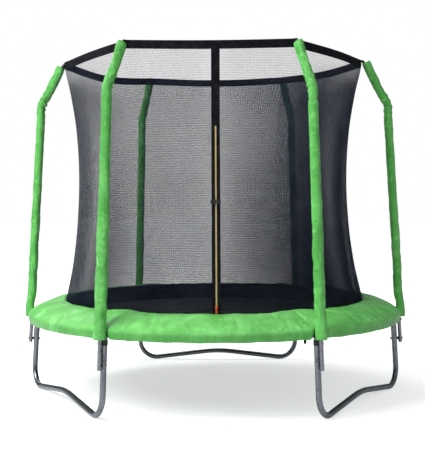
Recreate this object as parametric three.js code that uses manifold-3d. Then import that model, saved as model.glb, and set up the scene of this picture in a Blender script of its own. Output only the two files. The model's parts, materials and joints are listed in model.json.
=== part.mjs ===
// Round garden trampoline with an inner safety net, millimetres, +Z up.
// Origin: the floor point under the centre of the mat.  The door faces -Y.
import * as THREE from 'three';
import { mergeVertices } from 'three/addons/utils/BufferGeometryUtils.js';
import Module from 'manifold-3d';

const wasm = await Module();
wasm.setup();

// Frame ring: six rails that plug into each other, one leg socket on each.
const RING_R = 1200;
const RING_Z = 495;
const RAIL_OD_R = 19;
const RAIL_BORE_R = 17.6;
const RAIL_PLUG_R = 17.2;
const RAIL_PLUG_BORE_R = 15.6;
const RAIL_PLUG_LEN = 45;
const RAIL_STEPS = 6;
const RAIL_PLUG_BORE_EXTRA = 6;
const HOLE_OVERRUN = 5;
const FIT_GAP = 0.3;
const POLES = 6;
const SECTOR = 360 / POLES;
const FIRST_POLE = 30;

// Legs: three W bases and six straight uprights, leaning out towards the floor.
const TUBE_SIDES = 8;
const BOLT_SIDES = 4;
const LEAN = 3.2;
const LEG_R = 17.5;
const LEG_BORE_R = 16.1;
const SOCKET_R = 19;
const SOCKET_BORE_R = 17.9;
const SOCKET_END_Z = 335;
const SOCKET_ROOF_Z = 473;
const SOCKET_TOP_Z = 491;
const UPRIGHT_TOP_Z = 468;
const BASE_TOP_Z = 188;
const LEG_PLUG_R = 14.8;
const LEG_PLUG_BORE_R = 13.4;
const LEG_PLUG_LEN = 38;
const FOOT_BEND_R = 125;
const FOOT_STEPS = 5;
const CROWN_RISE = 50;
const CROWN_HALF = 110;
const CROWN_STEPS = 3;

// Net poles: two sections each, bolted outside the legs on spacers.
const POLE_OFFSET = 39;
const POLE_R = 12.5;
const POLE_BORE_R = 11.2;
const POLE_PLUG_R = 10.8;
const POLE_PLUG_LEN = 60;
const POLE_END_Z = 291;
const POLE_JOINT_Z = 1150;
const KINK_Z = 1885;
const TOP_TILT = 29;
const KINK_BEND_R = 110;
const KINK_STEPS = 4;
const TIP_R = 1000;
const CAP_R = 14;
const CAP_LEN = 16;

// Foam sleeves on the poles.
const SLEEVE_BORE_R = 13.3;
const SLEEVE_END_Z = 469;
const SLEEVE_TOP_R = 1022;

// Bolts that hold the poles to the legs.
const BOLT_ZS = { lower: 322, upper: 447 };
const BOLT_R = 4;
const BOLT_HOLE_R = 4.5;
const BOLT_HEAD_R = 7;
const BOLT_HEAD_H = 5.5;
const NUT_R = 7.5;
const NUT_H = 7;
const SPACER_R = 9;

// Mat, springs, pad.
const MAT_R = 990;
const MAT_TOP_Z = 500;
const MAT_T = 4;
const SPRING_BAND_R = 993;
const SPRING_BAND_T = 6;
const SPRING_BAND_H = 6;
const SPRING_Z = 497;
const SPRING_R = 9;
const SPRING_SIDES = 4;
const SPRINGS_PER_BANK = 8;
const SPRING_END_GAP = 1;
const BANK_GAP = 0.4;
const MAT_SIDES = 48;
const PAD_IN_R = 994;
const PAD_IN_TOP_Z = 602;
const PAD_IN_T = 18;
const PAD_OUT_R = 1232;
const PAD_OUT_TOP_Z = 530;
const PAD_SHOULDER_R = 1190;
const PAD_SHOULDER_Z = 537;
const PAD_UNDER_Z = 516;
const SKIRT_T = 3;
const SKIRT_END_Z = 470;
const NOTCH_R = 1214;
const NOTCH_END_Z = 519;
const NOTCH_HALF = 1.9;
const NOTCH_SHOULDER = 2.6;
const PAD_STEPS = 5;
const PAD_LIP = { back: 8, rise: 1, drop: 6, hem: 1 };

// Net, top band and door.
const NET_T = 2;
const NET_ZS = [502, 600, 720, 840, 1085, 1380, 1700, 1950, 2122];
const NET_AT_POLE = [986, 985, 960, 935, 902, 887, 902, 940, 979];
const NET_MIDWAY = [986, 985, 955, 925, 888, 868, 868, 882, 897];
const BAND_H = 50;
const BAND_T = 3;
const BAND_TOP_Z = 2185;
const BAND_SAG = 14;
const BAND_CORNER_R = 982;
const BAND_MID_R = 899;
const BAND_NET_GAP = 0.6;
const NET_STEP = 10;
const NET_FRONT = [-30, -20, -11, -2, 6, 14, 22];
const DOOR_AZ = 2;
const DOOR_FACET = 4;
const DOOR_LOW = { z: 600, r: 985 };
const DOOR_HIGH = { z: 1700, r: 872 };
const DOOR_FLAT = 5;
const DOOR_FADE = 18;
const STRIP_W = 50;
const STRIP_T = 1.6;
const SEAM_GAP = 0.9;
const ZIP_W = 7;
const ZIP_H = 2;
const ZIP_ZS = [625, 1690];
const STRIP_LOW_Z = 606;
const STRIP_BEND_Z = 1950;
const STRIP_TOP_GAP = 1.5;

// Zip slider, its pull, and the buckle over the zip.
const SLIDER_Z = 638;
const SLIDER = { w: 14, h: 20, t: 6 };
const SLIDER_CLEAR = 0.4;
const SLIDER_CHANNEL = { side: 0.5, depth: 0.5 };
const SLIDER_EAR = { t: 2, gap: 5.4, h: 5, reach: 5 };
const PULL_DROP = 5;
const PULL_PIN_OUT = 3.2;
const PIN_SIDES = 16;
const PULL_PIN_R = 1.1;
const PULL_EYE_R = 1.5;
const PULL = { w: 10, len: 27, t: 1.8, eyeR: 2.8, neck: 12, play: 1.4, shoulder: 9 };
const BUCKLE_Z = 1240;
const BUCKLE_OFF = 13;
const BUCKLE = { w: 30, h: 24, t: 10, bore: 22, wall: 2, split: 1 };
const TONGUE = { w: 24, in: 20, h: 19, t: 5.2, gap: 1.5, root: 2.5 };
const STRAP = { h: 20, t: 1.5, foot: 14, run: 12, dip: 4, turn: 6, lift: 1.6, rise: 1.2, overlap: 3 };

const COLOURS = {
  steel: 0xa9adb2, green: 0x5fdd55, black: 0x15161a, mesh: 0x2a2c33,
  zip: 0xd9c85a, orange: 0xe0522a, plastic: 0x0f1012,
};

const group = new THREE.Group();
const rad = THREE.MathUtils.degToRad;
const tanLean = Math.tan(rad(LEAN));

function add(name, geometry, colour, roughness = 0.6, metalness = 0) {
  const material = new THREE.MeshStandardMaterial({ color: colour, roughness, metalness });
  const mesh = new THREE.Mesh(geometry, material);
  mesh.name = name;
  group.add(mesh);
}

// A point at radius r and height z on the azimuth a (degrees from the door side,
// towards +X), moved t along the tangent.
function at(r, z, a, t = 0) {
  const s = Math.sin(rad(a));
  const c = Math.cos(rad(a));
  return new THREE.Vector3(r * s + t * c, -r * c + t * s, z);
}

function signedVolume(points, faces) {
  const cross = new THREE.Vector3();
  return faces.reduce((sum, [a, b, c]) => (
    sum + points[a].dot(cross.crossVectors(points[b], points[c]))), 0);
}

function solid(points, faces) {
  const turned = signedVolume(points, faces) < 0 ? faces.map(([a, b, c]) => [a, c, b]) : faces;
  const g = new THREE.BufferGeometry();
  g.setAttribute('position', new THREE.Float32BufferAttribute(points.flatMap((p) => [p.x, p.y, p.z]), 3));
  g.setIndex(turned.flat());
  g.computeVertexNormals();
  return g;
}

// A skin through loops of equal count: ends capped, or the last loop joined to the first.
// From the point 'flipFrom' of a loop on, its quads are split along the other diagonal.
function skin(loops, closed = false, flipFrom = Infinity) {
  const n = loops[0].length;
  const points = loops.flat();
  const faces = [];
  const spans = closed ? loops.length : loops.length - 1;
  for (let i = 0; i < spans; i += 1) {
    const p = i * n;
    const q = ((i + 1) % loops.length) * n;
    for (let k = 0; k < n; k += 1) {
      const m = (k + 1) % n;
      if (k < flipFrom) faces.push([p + k, q + k, q + m], [p + k, q + m, p + m]);
      else faces.push([p + k, q + k, p + m], [q + k, q + m, p + m]);
    }
  }
  if (!closed) {
    const last = (loops.length - 1) * n;
    for (let k = 1; k < n - 1; k += 1) {
      faces.push([0, k, k + 1], [last, last + k + 1, last + k]);
    }
  }
  return solid(points, faces);
}

function toManifold(geometry) {
  const g = geometry.clone();
  g.deleteAttribute('normal');
  g.deleteAttribute('uv');
  const m = mergeVertices(g, 1e-4);
  return new wasm.Manifold(new wasm.Mesh({
    numProp: 3,
    vertProperties: new Float32Array(m.attributes.position.array),
    triVerts: new Uint32Array(m.index.array),
  }));
}

function fromManifold(manifold) {
  const mesh = manifold.getMesh();
  const g = new THREE.BufferGeometry();
  g.setAttribute('position', new THREE.BufferAttribute(new Float32Array(mesh.vertProperties), 3));
  g.setIndex(new THREE.BufferAttribute(new Uint32Array(mesh.triVerts), 1));
  g.computeVertexNormals();
  return g;
}

// A loop round a station of a path in the vertical plane of azimuth a: side is the
// half width along the tangent, inner and outer the half depths in the plane.
function ovalLoop(station, a, side, outer, inner, count) {
  const loop = [];
  for (let k = 0; k < count; k += 1) {
    const phi = (2 * Math.PI * k) / count;
    const s = Math.sin(phi);
    const d = s > 0 ? outer * s : inner * s;
    loop.push(at(station.r + station.nr * d, station.z + station.nz * d, a, side * Math.cos(phi)));
  }
  return loop;
}

function roundLoop(station, a, radius, count = TUBE_SIDES) {
  return ovalLoop(station, a, radius, radius, radius, count);
}

// The leaning line of a leg upright (offset 0) or of a pole (offset outwards).
function leanStation(z, offset = 0) {
  const c = Math.cos(rad(LEAN));
  const r = RING_R + (RING_Z - z) * tanLean + offset / c;
  return { r, z, nr: c, nz: Math.sin(rad(LEAN)) };
}

function poleStation(z) {
  return leanStation(z, POLE_OFFSET);
}

// Stations of the pole's bend and of its straight top, tilted in to the net.
function poleBend() {
  const kink = poleStation(KINK_Z);
  const reach = KINK_BEND_R * Math.tan(rad((TOP_TILT - LEAN) / 2));
  const stations = [];
  const start = {
    r: kink.r + reach * Math.sin(rad(LEAN)), z: kink.z - reach * Math.cos(rad(LEAN)),
  };
  for (let i = 0; i <= KINK_STEPS; i += 1) {
    const tilt = rad(LEAN + ((TOP_TILT - LEAN) * i) / KINK_STEPS);
    const centre = {
      r: start.r - KINK_BEND_R * Math.cos(rad(LEAN)), z: start.z - KINK_BEND_R * Math.sin(rad(LEAN)),
    };
    stations.push({
      r: centre.r + KINK_BEND_R * Math.cos(tilt),
      z: centre.z + KINK_BEND_R * Math.sin(tilt),
      nr: Math.cos(tilt),
      nz: Math.sin(tilt),
    });
  }
  return stations;
}

const BEND = poleBend();

function topStation(r) {
  const last = BEND[BEND.length - 1];
  const along = (last.r - r) / Math.sin(rad(TOP_TILT));
  return { r, z: last.z + along * Math.cos(rad(TOP_TILT)), nr: last.nr, nz: last.nz };
}

function pipe(stations, a, outer, inner, count = TUBE_SIDES) {
  const out = stations.map((s, i) => roundLoop(s, a, outer[i] ?? outer[0], count));
  const bore = stations.map((s, i) => roundLoop(s, a, inner[i] ?? inner[0], count));
  return skin([...out, ...bore.reverse()], true);
}

// A bolt hole through the tube whose axis lies at distance q from the pole's.
function boltHole(level, a, q, tubeR) {
  return toManifold(boltSkin(poleStation(BOLT_ZS[level]), a,
    [[q - tubeR - HOLE_OVERRUN, BOLT_HOLE_R], [q + tubeR + HOLE_OVERRUN, BOLT_HOLE_R]]));
}

// A skin of small loops along the normal of a station: pairs are [distance, radius].
function boltSkin(station, a, pairs) {
  return skin(pairs.map(([q, radius]) => {
    const loop = [];
    for (let k = 0; k < BOLT_SIDES; k += 1) {
      const phi = (2 * Math.PI * (k + 0.5)) / BOLT_SIDES;
      const up = radius * Math.sin(phi);
      const r = station.r + station.nr * q - station.nz * up;
      const z = station.z + station.nz * q + station.nr * up;
      loop.push(at(r, z, a, radius * Math.cos(phi)));
    }
    return loop;
  }));
}

// One ring rail: an arc of tube with a swaged plug at one end and a leg socket.
function railSection(radius, a) {
  const loop = [];
  for (let k = 0; k < TUBE_SIDES; k += 1) {
    const phi = (2 * Math.PI * (k + 0.5)) / TUBE_SIDES;
    loop.push(at(RING_R + radius * Math.cos(phi), RING_Z + radius * Math.sin(phi), a));
  }
  return loop;
}

function blendLoops(p, q, t) {
  return p.map((v, i) => v.clone().lerp(q[i], t));
}

function rail(a) {
  const step = SECTOR / RAIL_STEPS;
  const chord = 2 * RING_R * Math.sin(rad(step / 2));
  const lap = (length) => length / chord;
  const azs = Array.from({ length: RAIL_STEPS + 1 }, (_, i) => a - SECTOR / 2 + i * step);
  const end = azs[RAIL_STEPS];
  const tube = (radius) => {
    const loops = azs.map((z) => railSection(radius, z));
    loops[0] = blendLoops(loops[0], loops[1], lap(FIT_GAP));
    return loops;
  };
  const plug = (radius) => {
    const root = railSection(radius, end);
    return [root, blendLoops(root, railSection(radius, end + step), lap(RAIL_PLUG_LEN))];
  };
  const deep = lap(RAIL_PLUG_LEN + RAIL_PLUG_BORE_EXTRA);
  const bore = tube(RAIL_BORE_R);
  bore.pop();
  const neck = blendLoops(
    railSection(RAIL_PLUG_BORE_R, end), railSection(RAIL_PLUG_BORE_R, azs[RAIL_STEPS - 1]), deep);
  const outer = skin([...tube(RAIL_OD_R), ...plug(RAIL_PLUG_R)]);
  const hollow = [...bore, neck, ...plug(RAIL_PLUG_BORE_R)];
  const h0 = hollow[0];
  const hEnd = hollow[hollow.length - 1];
  hollow[0] = blendLoops(h0, hollow[1], -0.02);
  hollow[hollow.length - 1] = blendLoops(hEnd, hollow[hollow.length - 2], -0.05);
  const socketTop = leanStation(SOCKET_TOP_Z);
  const socket = skin([
    roundLoop(leanStation(SOCKET_END_Z), a, SOCKET_R), roundLoop(socketTop, a, SOCKET_R)]);
  const bay = skin([
    roundLoop(leanStation(SOCKET_END_Z - HOLE_OVERRUN), a, SOCKET_BORE_R),
    roundLoop(leanStation(SOCKET_ROOF_Z), a, SOCKET_BORE_R)]);
  const tubeBody = toManifold(outer).add(toManifold(socket)).subtract(toManifold(skin(hollow)));
  return fromManifold(tubeBody
    .subtract(toManifold(bay))
    .subtract(boltHole('upper', a, -POLE_OFFSET, SOCKET_R)));
}

// A straight leg upright: plugs into the W base below and slides into the socket above.
function upright(a) {
  const plugEnd = leanStation(BASE_TOP_Z - LEG_PLUG_LEN);
  const root = leanStation(BASE_TOP_Z + FIT_GAP);
  const top = leanStation(UPRIGHT_TOP_Z);
  const body = pipe([plugEnd, root, root, top], a,
    [LEG_PLUG_R, LEG_PLUG_R, LEG_R, LEG_R],
    [LEG_PLUG_BORE_R, LEG_PLUG_BORE_R, LEG_PLUG_BORE_R, LEG_BORE_R]);
  return fromManifold(toManifold(body)
    .subtract(boltHole('lower', a, -POLE_OFFSET, LEG_R))
    .subtract(boltHole('upper', a, -POLE_OFFSET, LEG_R)));
}

// A W base in the tilted plane of two neighbouring uprights; u runs along the plane.
function legBase(mid) {
  const foot = (z) => {
    const s = leanStation(z);
    return { u: s.r * Math.sin(rad(SECTOR / 2)), n: s.r * Math.cos(rad(SECTOR / 2)), z };
  };
  const top = foot(BASE_TOP_Z);
  const ground = foot(LEG_R);
  const run = Math.hypot(ground.n - top.n, ground.z - top.z);
  // Plane coordinates: v is the height along the tilted plane above the low points' centres.
  const place = (u, v) => {
    const t = v / run;
    return new THREE.Vector3().copy(at(
      ground.n + (top.n - ground.n) * t, ground.z + (top.z - ground.z) * t, mid, u));
  };
  const splay = Math.atan2(ground.u - top.u, run);
  const half = [];
  const slope = Math.atan2(CROWN_RISE, ground.u - FOOT_BEND_R - CROWN_HALF / 2);
  const lowU = ground.u - FOOT_BEND_R * (Math.tan(splay) + 1 / Math.cos(splay));
  half.push({ u: top.u, v: run });
  const turn = Math.PI / 2 + slope + splay;
  for (let i = 0; i <= FOOT_STEPS; i += 1) {
    const t = splay - (turn * i) / FOOT_STEPS;
    half.push({ u: lowU + FOOT_BEND_R * Math.cos(t), v: FOOT_BEND_R + FOOT_BEND_R * Math.sin(t) });
  }
  const last = half[half.length - 1];
  const crownV = last.v + Math.tan(slope) * (last.u - CROWN_HALF);
  for (let i = 0; i < CROWN_STEPS; i += 1) {
    const f = i / CROWN_STEPS;
    half.push({
      u: CROWN_HALF * (1 - f),
      v: crownV + Math.tan(slope) * CROWN_HALF * (f - (f * f) / 2),
    });
  }
  const crown = { u: 0, v: crownV + (Math.tan(slope) * CROWN_HALF) / 2 };
  const line = [...half.map((p) => [p.u, p.v]), [crown.u, crown.v],
    ...half.slice().reverse().map((p) => [-p.u, p.v])];
  const normal = place(0, 1).sub(place(0, 0)).cross(at(0, 0, mid, 1)).normalize();
  const loops = (radius) => line.map(([u, v], i) => {
    const before = line[Math.max(i - 1, 0)];
    const after = line[Math.min(i + 1, line.length - 1)];
    const centre = place(u, v);
    const tangent = place(after[0], after[1]).sub(place(before[0], before[1])).normalize();
    const sideways = new THREE.Vector3().crossVectors(normal, tangent).normalize();
    return Array.from({ length: TUBE_SIDES }, (_, k) => {
      const phi = (2 * Math.PI * k) / TUBE_SIDES;
      return centre.clone()
        .addScaledVector(normal, radius * Math.cos(phi))
        .addScaledVector(sideways, radius * Math.sin(phi));
    });
  });
  return skin([...loops(LEG_R), ...loops(LEG_BORE_R).reverse()], true);
}

function poleLower(a) {
  const body = pipe([poleStation(POLE_END_Z), poleStation(POLE_JOINT_Z - FIT_GAP)],
    a, [POLE_R], [POLE_BORE_R]);
  return fromManifold(toManifold(body)
    .subtract(boltHole('lower', a, 0, POLE_R))
    .subtract(boltHole('upper', a, 0, POLE_R)));
}

function poleUpper(a) {
  const root = poleStation(POLE_JOINT_Z);
  const tip = topStation(TIP_R);
  const neck = topStation(TIP_R + CAP_LEN * Math.sin(rad(TOP_TILT)));
  return skin([
    roundLoop(poleStation(POLE_JOINT_Z - POLE_PLUG_LEN), a, POLE_PLUG_R),
    roundLoop(root, a, POLE_PLUG_R),
    roundLoop(root, a, POLE_R),
    ...BEND.map((s) => roundLoop(s, a, POLE_R)),
    roundLoop(neck, a, POLE_R),
    roundLoop(neck, a, CAP_R),
    roundLoop(tip, a, CAP_R)]);
}

// A foam sleeve: pressed flat against the ring at its foot, pulled in at its top.
function sleeve(a) {
  const stations = [
    [poleStation(SLEEVE_END_Z), 30, 43, 16], [poleStation(548), 30, 43, 16],
    [poleStation(640), 29, 35, 24],
    ...BEND.map((s) => [s, 28, 29, 27]),
    [topStation(1080), 28, 34, 24], [topStation(SLEEVE_TOP_R), 30, 42, 16]];
  const outer = stations.map(([s, side, out, inn]) => ovalLoop(s, a, side, out, inn, TUBE_SIDES));
  const bore = stations.map(([s]) => roundLoop(s, a, SLEEVE_BORE_R));
  return skin([...outer, ...bore.reverse()], true);
}

function clamp(level, a) {
  const legR = level === 'upper' ? SOCKET_R : LEG_R;
  const head = POLE_R + FIT_GAP;
  const leg = -POLE_OFFSET + legR + FIT_GAP;
  const nut = -POLE_OFFSET - legR - FIT_GAP;
  return boltSkin(poleStation(BOLT_ZS[level]), a, [
    [head + BOLT_HEAD_H, BOLT_HEAD_R], [head, BOLT_HEAD_R], [head, BOLT_R],
    [-head, BOLT_R], [-head, SPACER_R], [leg, SPACER_R], [leg, BOLT_R],
    [nut, BOLT_R], [nut, NUT_R], [nut - NUT_H, NUT_R]]);
}

// Radius of the rails' inner faces on azimuth az: each rail is a run of straight chords.
function railInside(az) {
  const step = SECTOR / RAIL_STEPS;
  const off = (((az % step) + step) % step) - step / 2;
  const flat = RING_R - RAIL_OD_R * Math.cos(Math.PI / TUBE_SIDES);
  return (flat * Math.cos(rad(step / 2))) / Math.cos(rad(off));
}

// A bank of springs on their strip of webbing, for one sixth of the ring.
function springBank(a) {
  const span = SECTOR - BANK_GAP;
  const steps = SPRINGS_PER_BANK * 2;
  const section = (az) => [
    at(SPRING_BAND_R, SPRING_Z - SPRING_BAND_H / 2, az),
    at(SPRING_BAND_R + SPRING_BAND_T, SPRING_Z - SPRING_BAND_H / 2, az),
    at(SPRING_BAND_R + SPRING_BAND_T, SPRING_Z + SPRING_BAND_H / 2, az),
    at(SPRING_BAND_R, SPRING_Z + SPRING_BAND_H / 2, az)];
  const band = skin(Array.from({ length: steps / 2 + 1 }, (_, i) => (
    section(a - span / 2 + (2 * span * i) / steps))));
  let bank = toManifold(band);
  for (let k = 0; k < SPRINGS_PER_BANK; k += 1) {
    const az = a - SECTOR / 2 + (SECTOR * (k + 0.5)) / SPRINGS_PER_BANK;
    const ring = (r) => Array.from({ length: SPRING_SIDES }, (_, j) => {
      const phi = (2 * Math.PI * (j + 0.5)) / SPRING_SIDES;
      return at(r, SPRING_Z + SPRING_R * Math.sin(phi), az, SPRING_R * Math.cos(phi));
    });
    bank = bank.add(toManifold(skin([
      ring(SPRING_BAND_R + SPRING_BAND_T / 2), ring(railInside(az) - SPRING_END_GAP)])));
  }
  return fromManifold(bank);
}

function mat() {
  const disc = new THREE.CylinderGeometry(MAT_R, MAT_R, MAT_T, MAT_SIDES);
  disc.rotateX(Math.PI / 2);
  disc.translate(0, 0, MAT_TOP_Z - MAT_T / 2);
  return fromManifold(toManifold(disc));
}

function pad() {
  const loops = [];
  const azs = [];
  for (let i = 0; i < POLES; i += 1) {
    const pole = FIRST_POLE + i * SECTOR;
    azs.push([pole - NOTCH_SHOULDER, 1], [pole - NOTCH_HALF, 0], [pole, 0], [pole + NOTCH_HALF, 0]);
    const free = SECTOR - 2 * NOTCH_SHOULDER;
    for (let k = 0; k < PAD_STEPS; k += 1) azs.push([pole + NOTCH_SHOULDER + (free * k) / PAD_STEPS, 1]);
  }
  azs.forEach(([az, full]) => {
    const out = full ? PAD_OUT_R : NOTCH_R;
    const low = full ? SKIRT_END_Z : NOTCH_END_Z;
    loops.push([
      at(PAD_IN_R, PAD_IN_TOP_Z, az), at(PAD_SHOULDER_R, PAD_SHOULDER_Z, az),
      at(out - PAD_LIP.back, PAD_OUT_TOP_Z + PAD_LIP.rise, az),
      at(out, PAD_OUT_TOP_Z - PAD_LIP.drop, az), at(out, low, az),
      at(out - SKIRT_T, low, az), at(out - SKIRT_T - PAD_LIP.hem, PAD_UNDER_Z, az),
      at(PAD_SHOULDER_R, PAD_UNDER_Z, az), at(PAD_IN_R, PAD_IN_TOP_Z - PAD_IN_T, az)]);
  });
  return skin(loops, true);
}

// Share of the way from a pole's azimuth (0) to midway between two poles (1).
function midShare(az) {
  const off = Math.abs((((az - FIRST_POLE) % SECTOR) + SECTOR) % SECTOR - SECTOR / 2);
  return 1 - off / (SECTOR / 2);
}

function bandRadius(az) {
  const delta = (SECTOR / 2) * midShare(az);
  const chord = (BAND_CORNER_R * Math.cos(rad(SECTOR / 2))) / Math.cos(rad(SECTOR / 2 - delta));
  const bow = BAND_MID_R - BAND_CORNER_R * Math.cos(rad(SECTOR / 2));
  return chord + bow * Math.sin((Math.PI / 2) * midShare(az));
}

function bandSag(az) {
  return BAND_SAG * Math.sin((Math.PI / 2) * midShare(az));
}

function netRadius(level, az) {
  const top = NET_ZS.length - 1;
  const hex = (bandRadius(az) - BAND_MID_R) / (BAND_CORNER_R - BAND_MID_R);
  let r = NET_MIDWAY[level] + (NET_AT_POLE[level] - NET_MIDWAY[level]) * hex;
  const off = Math.abs(az - DOOR_AZ);
  const z = NET_ZS[level];
  if (off < DOOR_FADE && z >= DOOR_LOW.z && level < top) {
    const w = off <= DOOR_FLAT ? 1 : (DOOR_FADE - off) / (DOOR_FADE - DOOR_FLAT);
    const t = (z - DOOR_LOW.z) / (DOOR_HIGH.z - DOOR_LOW.z);
    const straight = t <= 1 ? DOOR_LOW.r + (DOOR_HIGH.r - DOOR_LOW.r) * t
      : DOOR_HIGH.r + (BAND_MID_R - DOOR_HIGH.r) * ((z - DOOR_HIGH.z) / (NET_ZS[top] - DOOR_HIGH.z));
    r += (straight - r) * w;
  }
  return r;
}

function netAzimuths() {
  const rest = [];
  for (let az = FIRST_POLE; az < 360 - FIRST_POLE; az += NET_STEP) rest.push(az);
  return [...NET_FRONT, ...rest];
}

function net() {
  const top = NET_ZS.length - 1;
  return skin(netAzimuths().map((az) => {
    const rim = BAND_TOP_Z - BAND_H - BAND_NET_GAP - bandSag(az);
    const z = (level) => (level === top ? rim : NET_ZS[level]);
    const outer = NET_ZS.map((_, i) => at(netRadius(i, az) + NET_T / 2, z(i), az));
    const inner = NET_ZS.map((_, i) => at(netRadius(i, az) - NET_T / 2, z(i), az));
    return [...outer, ...inner.reverse()];
  }), true, NET_ZS.length);
}

function topBand() {
  const loops = netAzimuths().map((az) => {
    const r = bandRadius(az);
    const top = BAND_TOP_Z - bandSag(az);
    return [at(r, top, az), at(r, top - BAND_H, az),
      at(r - BAND_T, top - BAND_H, az), at(r - BAND_T, top, az)];
  });
  return skin(loops, true);
}

// Radius of the net's outer face along the door line, and the face the strip is sewn to.
function doorFace(z) {
  const up = NET_ZS.findIndex((level) => level >= z);
  const t = (z - NET_ZS[up - 1]) / (NET_ZS[up] - NET_ZS[up - 1]);
  const facet = (level) => (
    netRadius(level, DOOR_AZ - DOOR_FACET) + netRadius(level, DOOR_AZ + DOOR_FACET)) / 2;
  const r = facet(up - 1) + (facet(up) - facet(up - 1)) * t;
  return (r + NET_T / 2) * Math.cos(rad(DOOR_FACET));
}

function doorStrip() {
  const high = BAND_TOP_Z - BAND_H - bandSag(DOOR_AZ) - STRIP_TOP_GAP;
  const zs = [STRIP_LOW_Z, ZIP_ZS[0], ZIP_ZS[0], ZIP_ZS[1], ZIP_ZS[1], DOOR_HIGH.z,
    STRIP_BEND_Z, high];
  const rib = [0, 0, 1, 1, 0, 0, 0, 0];
  return skin(zs.map((z, i) => {
    const face = doorFace(z) + SEAM_GAP;
    const front = face + STRIP_T;
    const crest = front + (rib[i] ? ZIP_H : 0);
    return [[face, -STRIP_W / 2], [face, STRIP_W / 2], [front, STRIP_W / 2], [front, ZIP_W / 2],
      [crest, ZIP_W / 2], [crest, -ZIP_W / 2], [front, -ZIP_W / 2], [front, -STRIP_W / 2],
    ].map(([r, t]) => at(r, z, DOOR_AZ, t));
  }));
}

// Door-line frame at height z: x along the tangent, y in towards the mat, z up the zip.
function doorMatrix(z) {
  const up = at(doorFace(ZIP_ZS[1]), ZIP_ZS[1], DOOR_AZ)
    .sub(at(doorFace(ZIP_ZS[0]), ZIP_ZS[0], DOOR_AZ)).normalize();
  const across = at(0, 0, DOOR_AZ, 1);
  const inward = new THREE.Vector3().crossVectors(up, across);
  const origin = at(doorFace(z) + SEAM_GAP + STRIP_T, z, DOOR_AZ);
  return new THREE.Matrix4().makeBasis(across, inward, up).setPosition(origin);
}

function block(w, t, h, x = 0, y = 0, z = 0) {
  const g = new THREE.BoxGeometry(w, t, h);
  g.translate(x, y, z);
  return toManifold(g);
}

function rod(r, length, centre) {
  const g = new THREE.CylinderGeometry(r, r, length, PIN_SIDES);
  g.rotateZ(Math.PI / 2);
  g.translate(0, centre.y, centre.z);
  return toManifold(g);
}

function onDoor(manifold, z) {
  return fromManifold(manifold).applyMatrix4(doorMatrix(z));
}

// The pieces on the door stand out from the strip's face, to negative y.
function slider() {
  const body = block(SLIDER.w, SLIDER.t, SLIDER.h, 0, -(SLIDER.t / 2 + SLIDER_CLEAR), 0);
  const channel = block(ZIP_W + 2 * SLIDER_CHANNEL.side, 2 * (ZIP_H + SLIDER_CHANNEL.depth),
    SLIDER.h + 2 * HOLE_OVERRUN, 0, 0, 0);
  let all = body.subtract(channel);
  const earY = -(SLIDER.t + SLIDER_CLEAR + (SLIDER_EAR.reach - 1) / 2);
  [-1, 1].forEach((side) => {
    const x = side * (SLIDER_EAR.gap / 2 + SLIDER_EAR.t / 2);
    all = all.add(block(SLIDER_EAR.t, SLIDER_EAR.reach + 1, SLIDER_EAR.h, x, earY, -PULL_DROP));
  });
  return all.add(rod(PULL_PIN_R, SLIDER_EAR.gap + 2, pullPin()));
}

function pullPin() {
  return { y: -(SLIDER.t + SLIDER_CLEAR + PULL_PIN_OUT), z: -PULL_DROP };
}

function pullTab() {
  const pin = pullPin();
  const lowZ = pin.z - PULL.len;
  const plateLen = PULL.len - PULL.shoulder;
  const width = SLIDER_EAR.gap - PULL.play;
  const neck = block(width, PULL.t, PULL.neck, 0, pin.y, pin.z - PULL.neck / 2);
  const plate = block(PULL.w, PULL.t, plateLen, 0, pin.y, lowZ + plateLen / 2);
  const eye = rod(PULL.eyeR, width, pin);
  return neck.add(plate).add(eye).subtract(rod(PULL_EYE_R, PULL.w, pin));
}

// A strap from the buckle's end back to the net, as a bent bar of webbing.
function strap(side, fromX) {
  const y = -(BUCKLE_OFF + BUCKLE.t / 2);
  const drop = fromX + side * STRAP.run;
  const foot = drop + side * STRAP.turn;
  const line = [[fromX, y], [drop, y + STRAP.dip], [foot, -STRAP.lift],
    [foot + side * STRAP.foot, STRAP.rise - STRAP.lift]];
  const loops = line.map(([x, yy], i) => {
    const p = line[Math.max(i - 1, 0)];
    const q = line[Math.min(i + 1, line.length - 1)];
    const d = Math.hypot(q[0] - p[0], q[1] - p[1]);
    const nx = (-(q[1] - p[1]) / d) * (STRAP.t / 2);
    const ny = ((q[0] - p[0]) / d) * (STRAP.t / 2);
    const h = STRAP.h / 2;
    return [[x - nx, yy - ny, -h], [x + nx, yy + ny, -h], [x + nx, yy + ny, h], [x - nx, yy - ny, h]]
      .map((v) => new THREE.Vector3(...v));
  });
  return toManifold(skin(loops));
}

function buckleSocket() {
  const y = -(BUCKLE_OFF + BUCKLE.t / 2);
  const x = -BUCKLE.w / 2;
  const shell = block(BUCKLE.w, BUCKLE.t, BUCKLE.h, x + BUCKLE.split, y, 0);
  const bay = block(BUCKLE.bore, BUCKLE.t - 2 * BUCKLE.wall, BUCKLE.h - 2 * BUCKLE.wall,
    2 * BUCKLE.split - BUCKLE.bore / 2, y, 0);
  return shell.subtract(bay).add(strap(-1, -BUCKLE.w + STRAP.overlap));
}

function buckleInsert() {
  const y = -(BUCKLE_OFF + BUCKLE.t / 2);
  const head = block(TONGUE.w, BUCKLE.t, BUCKLE.h, TONGUE.w / 2 + TONGUE.gap, y, 0);
  const tongue = block(TONGUE.in + 2, TONGUE.t, TONGUE.h, TONGUE.root - TONGUE.in / 2, y, 0);
  return head.add(tongue).add(strap(1, TONGUE.w));
}

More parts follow.
